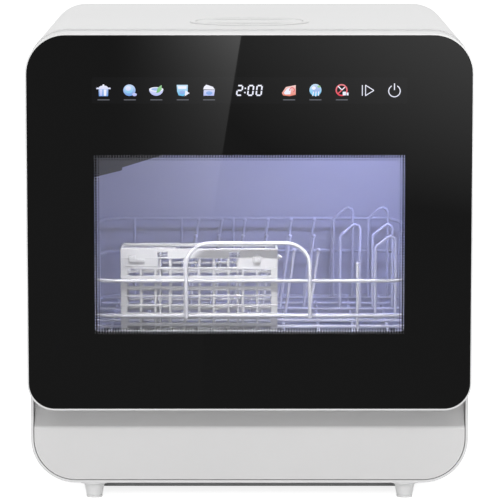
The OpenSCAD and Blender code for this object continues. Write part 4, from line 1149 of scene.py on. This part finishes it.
class MakeBasket(bpy.types.Operator):
    """Cutlery basket of moulded rails and ribs, with its slide plate, knob and peg"""

    bl_idname = "dishwasher.basket"
    bl_label = "Cutlery basket"

    # All in millimetres
    front_room = 2.2
    peg_room = 4.0
    wall = 2.0
    rib = 2.2
    post = 5.4
    divider = 1.6
    floor_bar = 2.5
    edge = 0.35
    columns = 10
    side_gaps = 3
    cells = 4
    floor_gaps = 5
    # How far each kind of bar stands back from the faces around it, so that no two share a
    # plane: from one face, or from the front and the back of its wall
    end_inset = 0.5
    post_inset = (0.2, 0.1)
    rib_inset = (0.25, 0.15)
    side_inset = 0.25
    back_inset = 0.1
    top_inset, low_inset = 0.3, 0.2
    inner = 1.0
    # Rails all round, from and to below the top edge
    rails = (
        (0, 3.4), (8.4, 9.8), (18.2, 20.2), (26.4, 29.6), (36.6, 39.0), (45.0, 46.8),
        (54.2, 56.2), (62.4, 66.0), (72.0, 75.0),
    )
    last_rail = 5.0
    # Below this the ribs and dividers start, under the closed strip
    rib_top = 9.0
    # Front plate and top strip: ranges along the front (None is its far end), inwards and
    # below the top edge, and the radius of the edges
    plate = (
        ((0, 35), (0.1, 1.9), (3.2, 9.6), edge),
        ((45, 105), (0.1, 1.9), (3.2, 9.6), edge),
        ((115, None), (0.1, 1.9), (3.2, 9.6), edge),
        ((34.5, 45.5), (0.3, 1.7), (5.6, 6.6), 0.2),
        ((104.5, 115.5), (0.3, 1.7), (5.6, 6.6), 0.2),
        ((0, 36), (0.1, 1.9), (9, 19.6), edge),
        ((113, None), (0.1, 1.9), (9, 19.6), edge),
        ((8, 23.5), (-1.6, 0.4), (9.8, 13), 0.5),
        ((8, 14.5), (-1.6, 0.4), (6.6, 11), 0.5),
        ((5, 34), (-0.5, 0.4), (16, 17.2), 0.2),
        ((1, 52), (2, 3.6), (0.1, 1.6), edge),
        ((1, 52), (8.4, 10), (0.1, 1.6), edge),
    )
    # Cross bars of the top strip: the first, the distance and the number of those after it
    strip_bar = ((1, 3.4), (2, 10), (0.1, 1.6), edge)
    strip_pitch = 12.4
    strip_gaps = 4
    # Knob on the front: place from the right end and below the top, then its two discs by
    # radius and range inwards
    knob_place = (20, 10.4)
    knob = ((4.4, (-0.9, 1)), (2.7, (-2.2, 0)))
    # Peg on the right end: place inwards and below the top, then its two rods by radius and
    # reach out of the end
    peg_place = (8, 9.5)
    peg = ((2.5, 2.4), (1.5, 4.0))
    peg_root = 1.0

    def rails_and_posts(self, grid):
        """Rails all round, with a post at each end of the front."""
        wall = self.wall
        for down in (*self.rails, (grid.tall - self.last_rail, grid.tall)):
            front = grid.bar((0, grid.long), (0, wall), down, self.edge)
            grid.row(front, 0, grid.deep - wall)
            inward = (self.end_inset, grid.deep - self.end_inset)
            grid.row(grid.bar((0, wall), inward, down, self.edge), grid.long - wall, 0)
        inward = (self.post_inset[0], wall - self.post_inset[1])
        down = (self.top_inset, grid.tall - self.low_inset)
        post = grid.bar((0, self.post), inward, down, self.edge)
        grid.row(post, grid.long - self.post, 0)

    def ribs(self, grid, pitch):
        """Upright ribs of the four walls."""
        across = (self.post - self.rib / 2, self.post + self.rib / 2)
        inward = (self.rib_inset[0], self.wall - self.rib_inset[1])
        low = grid.tall - self.low_inset
        front = grid.bar(across, inward, (self.rib_top, low), self.edge)
        back = grid.row(front, 0, grid.deep - self.wall - self.back_inset)
        for rib in (front, back):
            grid.row(rib, pitch, 0, self.columns)
        across = (self.side_inset, self.wall - self.side_inset)
        inward = (self.inner, self.inner + self.rib)
        left = grid.bar(across, inward, (self.top_inset, low), self.edge)
        right = grid.row(left, grid.long - self.wall, 0)
        gap = (grid.deep - 2 * self.inner - self.rib) / self.side_gaps
        for rib in (left, right):
            grid.row(rib, 0, gap, self.side_gaps)

    def cells_and_floor(self, grid, pitch):
        """Dividers between the cells, and the grid of the floor."""
        long, deep, tall, inner = grid.long, grid.deep, grid.tall, self.inner
        cell = (long - self.wall) / self.cells
        divider = grid.bar(
            (cell, cell + self.divider), (inner, deep - inner), (self.rib_top, tall - inner),
            self.edge,
        )
        grid.row(divider, cell, 0, self.cells - 2)
        lengthwise = grid.bar(
            (inner, long - inner), (inner, inner + self.floor_bar), (tall - self.wall, tall),
            self.edge,
        )
        grid.row(lengthwise, 0, (deep - 2 * self.floor_bar) / self.floor_gaps, self.floor_gaps)
        down = (tall - self.wall + self.low_inset, tall - self.low_inset)
        cross = grid.bar((inner, inner + self.wall), (inner, deep - inner), down, self.edge)
        grid.row(cross, pitch, 0, self.columns)

    def plate_and_knobs(self, grid):
        """Closed strip of the front with its slots and slide, the knob and the peg."""
        for (start, end), *rest in self.plate:
            grid.bar((start, grid.long if end is None else end), *rest)
        grid.row(grid.bar(*self.strip_bar), self.strip_pitch, 0, self.strip_gaps)
        from_end, drop = self.knob_place
        for radius, (start, end) in self.knob:
            place = (grid.long - from_end, (start + end) / 2, -drop)
            grid.rod(place, radius, end - start, 1)
        inward, drop = self.peg_place
        for radius, reach in self.peg:
            place = (grid.long + (reach - self.peg_root) / 2, inward, -drop)
            grid.rod(place, radius, reach + self.peg_root, 0)

    def execute(self, context):
        low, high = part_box("cutlery_basket")
        grid = BasketFrame(
            Vector((low.x, low.y, high.z)) / MM + Vector((0, self.front_room, 0)),
            (high.x - low.x) / MM - self.peg_room,
            (high.y - low.y) / MM - self.front_room,
            (high.z - low.z) / MM,
        )
        pitch = (grid.long - 2 * self.post) / self.columns
        self.rails_and_posts(grid)
        self.ribs(grid, pitch)
        self.cells_and_floor(grid, pitch)
        self.plate_and_knobs(grid)
        basket = join(grid.pieces, "basket_moulding")
        smooth(basket)
        set_material(basket, bpy.data.materials["basket_white"])
        stand_for(basket, "cutlery_basket")
        return {"FINISHED"}


class MakeStage(bpy.types.Operator):
    """Camera, pale floor, lamps and the two cards that the glass mirrors"""

    bl_idname = "dishwasher.stage"
    bl_label = "Stage"

    sensor = 36
    nearest, furthest = 0.1, 100
    floor_size = 30
    floor_place = (0, 8, -0.2 * MM)
    floor_tone = (0.82, 0.82, 0.82, 1)
    floor_glow = 0.8
    # The cards stand before the door, out to this far from its middle. Their joint, from its
    # top down, is the slanted edge in the glass.
    card_y = -0.6675
    card_reach = 1.2
    joint = (
        (0.0137, 0.5614), (-0.0091, 0.4178), (-0.0456, 0.1879), (-0.0531, 0.0148),
        (-0.0538, 0.002),
    )
    # Heights between which both cards fade to plain white
    card_fade = (0.42, 0.55)
    # Left card: rises towards the joint by a power, and falls off below its peak
    left_rise, left_power = (-0.15, -0.012), 1.7
    left_peak, left_height, left_fall = 7.8, 0.405, 0.086
    # Right card: an even share and one that grows to the right, each with its size at this
    # height and how far below it is gone, and the places between which the card ends
    right_height = 0.39
    right_even, right_slope = (0.93, 0.081), (3.2, 0.237)
    right_width = 0.232
    right_end = (0.25, 0.4)
    basket_spread = math.radians(80)

    def camera(self, studio):
        """Camera of the photograph's view."""
        view = bpy.data.cameras.new("view")
        view.lens = studio.lens
        view.sensor_width = self.sensor
        view.clip_start, view.clip_end = self.nearest, self.furthest
        holder = bpy.data.objects.new("view", view)
        bpy.context.scene.collection.objects.link(holder)
        holder.location = (0, -studio.distance, studio.height)
        holder.rotation_euler = (math.pi / 2 - studio.pitch, 0, 0)
        bpy.context.scene.camera = holder

    def floor(self):
        """Pale floor that the camera and glossy rays see as white."""
        clear_selection()
        bpy.ops.mesh.primitive_plane_add(size=self.floor_size, location=self.floor_place)
        floor = bpy.context.object
        floor.name = "floor"
        material, wires, shader, _ = new_material("floor")
        set_inputs(shader, {
            "Base Color": self.floor_tone, "Roughness": 0.9, "Specular IOR Level": 0.0,
            "Emission Color": PLAIN_WHITE,
        })
        rays = wires.add("ShaderNodeLightPath").outputs
        seen = wires.math("MAXIMUM", rays["Is Camera Ray"], rays["Is Glossy Ray"])
        glow = wires.math("MULTIPLY", seen, self.floor_glow)
        wires.feed(shader.inputs["Emission Strength"], glow)
        set_material(floor, material)
        settle(floor)

    def cards(self):
        """Two graded cards that only glossy rays see."""
        top, low = self.joint[0][1], self.joint[-1][1]
        for name, side, level in (
            ("left_card", -self.card_reach, self.left_level),
            ("right_card", self.card_reach, self.right_level),
        ):
            outline = ((side, top), *self.joint, (side, low))
            clear_selection()
            bpy.ops.mesh.primitive_circle_add(vertices=len(outline), fill_type="NGON")
            card = bpy.context.object
            card.name = name
            for point, (x, z) in zip(card.data.vertices, outline):
                point.co = (x, self.card_y, z)
            material, wires, _, place = new_material(name)
            across, _, up = wires.axes(place)
            fade = wires.span(up, *self.card_fade, 1.0, 0.0)
            extra = wires.math("MULTIPLY", level(wires, across, up), fade)
            glow = wires.add("ShaderNodeEmission")
            wires.feed(glow.inputs["Strength"], wires.math("ADD", extra, 1.0))
            output = material.node_tree.nodes["Material Output"]
            wires.feed(output.inputs["Surface"], glow.outputs[0])
            set_material(card, material)
            for ray in ("camera", "diffuse", "transmission", "volume_scatter", "shadow"):
                setattr(card, "visible_" + ray, False)

    def left_level(self, wires, across, up):
        """Glow of the left card beyond plain white."""
        rise = wires.math("POWER", wires.span(across, *self.left_rise), self.left_power)
        above = wires.math("SUBTRACT", up, self.left_height)
        fall = wires.math("POWER", math.e, wires.math("DIVIDE", above, self.left_fall))
        return wires.math("MULTIPLY", wires.math("MULTIPLY", rise, fall), self.left_peak)

    def right_level(self, wires, across, up):
        """Glow of the right card beyond plain white."""
        drop = wires.math("SUBTRACT", self.right_height, up)
        even, slope = (
            wires.math("SUBTRACT", most, wires.math("MULTIPLY", drop, most / reach))
            for most, reach in (self.right_even, self.right_slope)
        )
        share = wires.math("DIVIDE", wires.math("MULTIPLY", slope, across), self.right_width)
        level = wires.math("MAXIMUM", wires.math("ADD", even, share), 0.0)
        return wires.math("MULTIPLY", level, wires.span(across, *self.right_end, 1.0, 0.0))

    def lamp(self, name, watts, size, place, aim, colour=(1, 1, 1), spread=math.pi):
        """Rectangular lamp that shows in no reflection."""
        light = bpy.data.lights.new(name, "AREA")
        light.energy = watts
        light.shape = "RECTANGLE"
        light.size, light.size_y = size
        light.color = colour
        light.spread = spread
        holder = bpy.data.objects.new(name, light)
        bpy.context.scene.collection.objects.link(holder)
        holder.location = place
        holder.rotation_euler = (Vector(aim) - Vector(place)).to_track_quat("-Z", "Y").to_euler()
        holder.visible_glossy = False

    def world(self, scene, ambient):
        """World that lights the object dimly and looks white itself."""
        world = bpy.data.worlds.new("studio")
        world.use_nodes = True
        scene.world = world
        wires = Wiring(world.node_tree)
        rays = wires.add("ShaderNodeLightPath").outputs
        seen = wires.math("MAXIMUM", rays["Is Camera Ray"], rays["Is Glossy Ray"])
        seen = wires.math("MAXIMUM", seen, rays["Is Transmission Ray"])
        back = world.node_tree.nodes["Background"]
        back.inputs["Color"].default_value = PLAIN_WHITE
        wires.feed(back.inputs["Strength"], wires.span(seen, 0.0, 1.0, ambient, 1.0))

    def execute(self, context):
        scene = context.scene
        studio = scene.dishwasher_studio
        self.camera(studio)
        self.floor()
        self.cards()
        self.lamp(
            "top_lamp", studio.key, size=(1.6, 1.6), place=(0.1, -0.3, 2.0), aim=(0, 0, 0.3)
        )
        self.lamp(
            "front_lamp", studio.fill, size=(2.2, 1.6), place=(-0.1, -2.6, 0.8), aim=(0, 0, 0.2)
        )
        under_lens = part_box("interior_lamp")[0].z - 4 * MM
        self.lamp(
            "tub_lamp", studio.tub_lamp, size=(0.03, 0.02), place=(0.11, -0.08, under_lens),
            aim=(0.09, 0.17, 0.2), colour=scene.dishwasher_colours.lamp,
        )
        self.lamp(
            "basket_lamp", studio.basket_lamp, size=(0.26, 0.008), place=(0, -0.205, 0.3435),
            aim=(0, -0.14, 0.2), spread=self.basket_spread,
        )
        self.world(scene, studio.ambient)
        scene.view_settings.view_transform = "Standard"
        return {"FINISHED"}


class DishwasherPanel(bpy.types.Panel):
    """Sizes, colours and steps of the dishwasher"""

    bl_idname = "VIEW3D_PT_dishwasher"
    bl_label = "Dishwasher"
    bl_space_type = "VIEW_3D"
    bl_region_type = "UI"
    bl_category = "Dishwasher"

    def draw(self, context):
        scene = context.scene
        for holder in (
            scene.dishwasher_sizes, scene.dishwasher_colours, scene.dishwasher_studio,
        ):
            box = self.layout.box()
            for name in holder.__annotations__:
                box.prop(holder, name)
        for step in STEPS:
            self.layout.operator(step.bl_idname)


STEPS = (
    MakeFinishes, RoundShells, MakeDoorGlass, MakeIcons, MakeTouchField, MakeDisplay, MakeBasket,
    MakeFittings, MakeStage,
)
CLASSES = (DishwasherSizes, DishwasherColours, DishwasherStudio, *STEPS, DishwasherPanel)


def register():
    """Registers the classes and hangs the properties on the scene."""
    for kind in CLASSES:
        bpy.utils.register_class(kind)
    bpy.types.Scene.dishwasher_sizes = PointerProperty(type=DishwasherSizes)
    bpy.types.Scene.dishwasher_colours = PointerProperty(type=DishwasherColours)
    bpy.types.Scene.dishwasher_studio = PointerProperty(type=DishwasherStudio)


def unregister():
    """Takes all of it away again."""
    del bpy.types.Scene.dishwasher_studio
    del bpy.types.Scene.dishwasher_colours
    del bpy.types.Scene.dishwasher_sizes
    for kind in reversed(CLASSES):
        bpy.utils.unregister_class(kind)


def main():
    """Runs every step in order."""
    register()
    for step in STEPS:
        group, name = step.bl_idname.split(".")
        getattr(getattr(bpy.ops, group), name)()


if __name__ == "__main__":
    main()
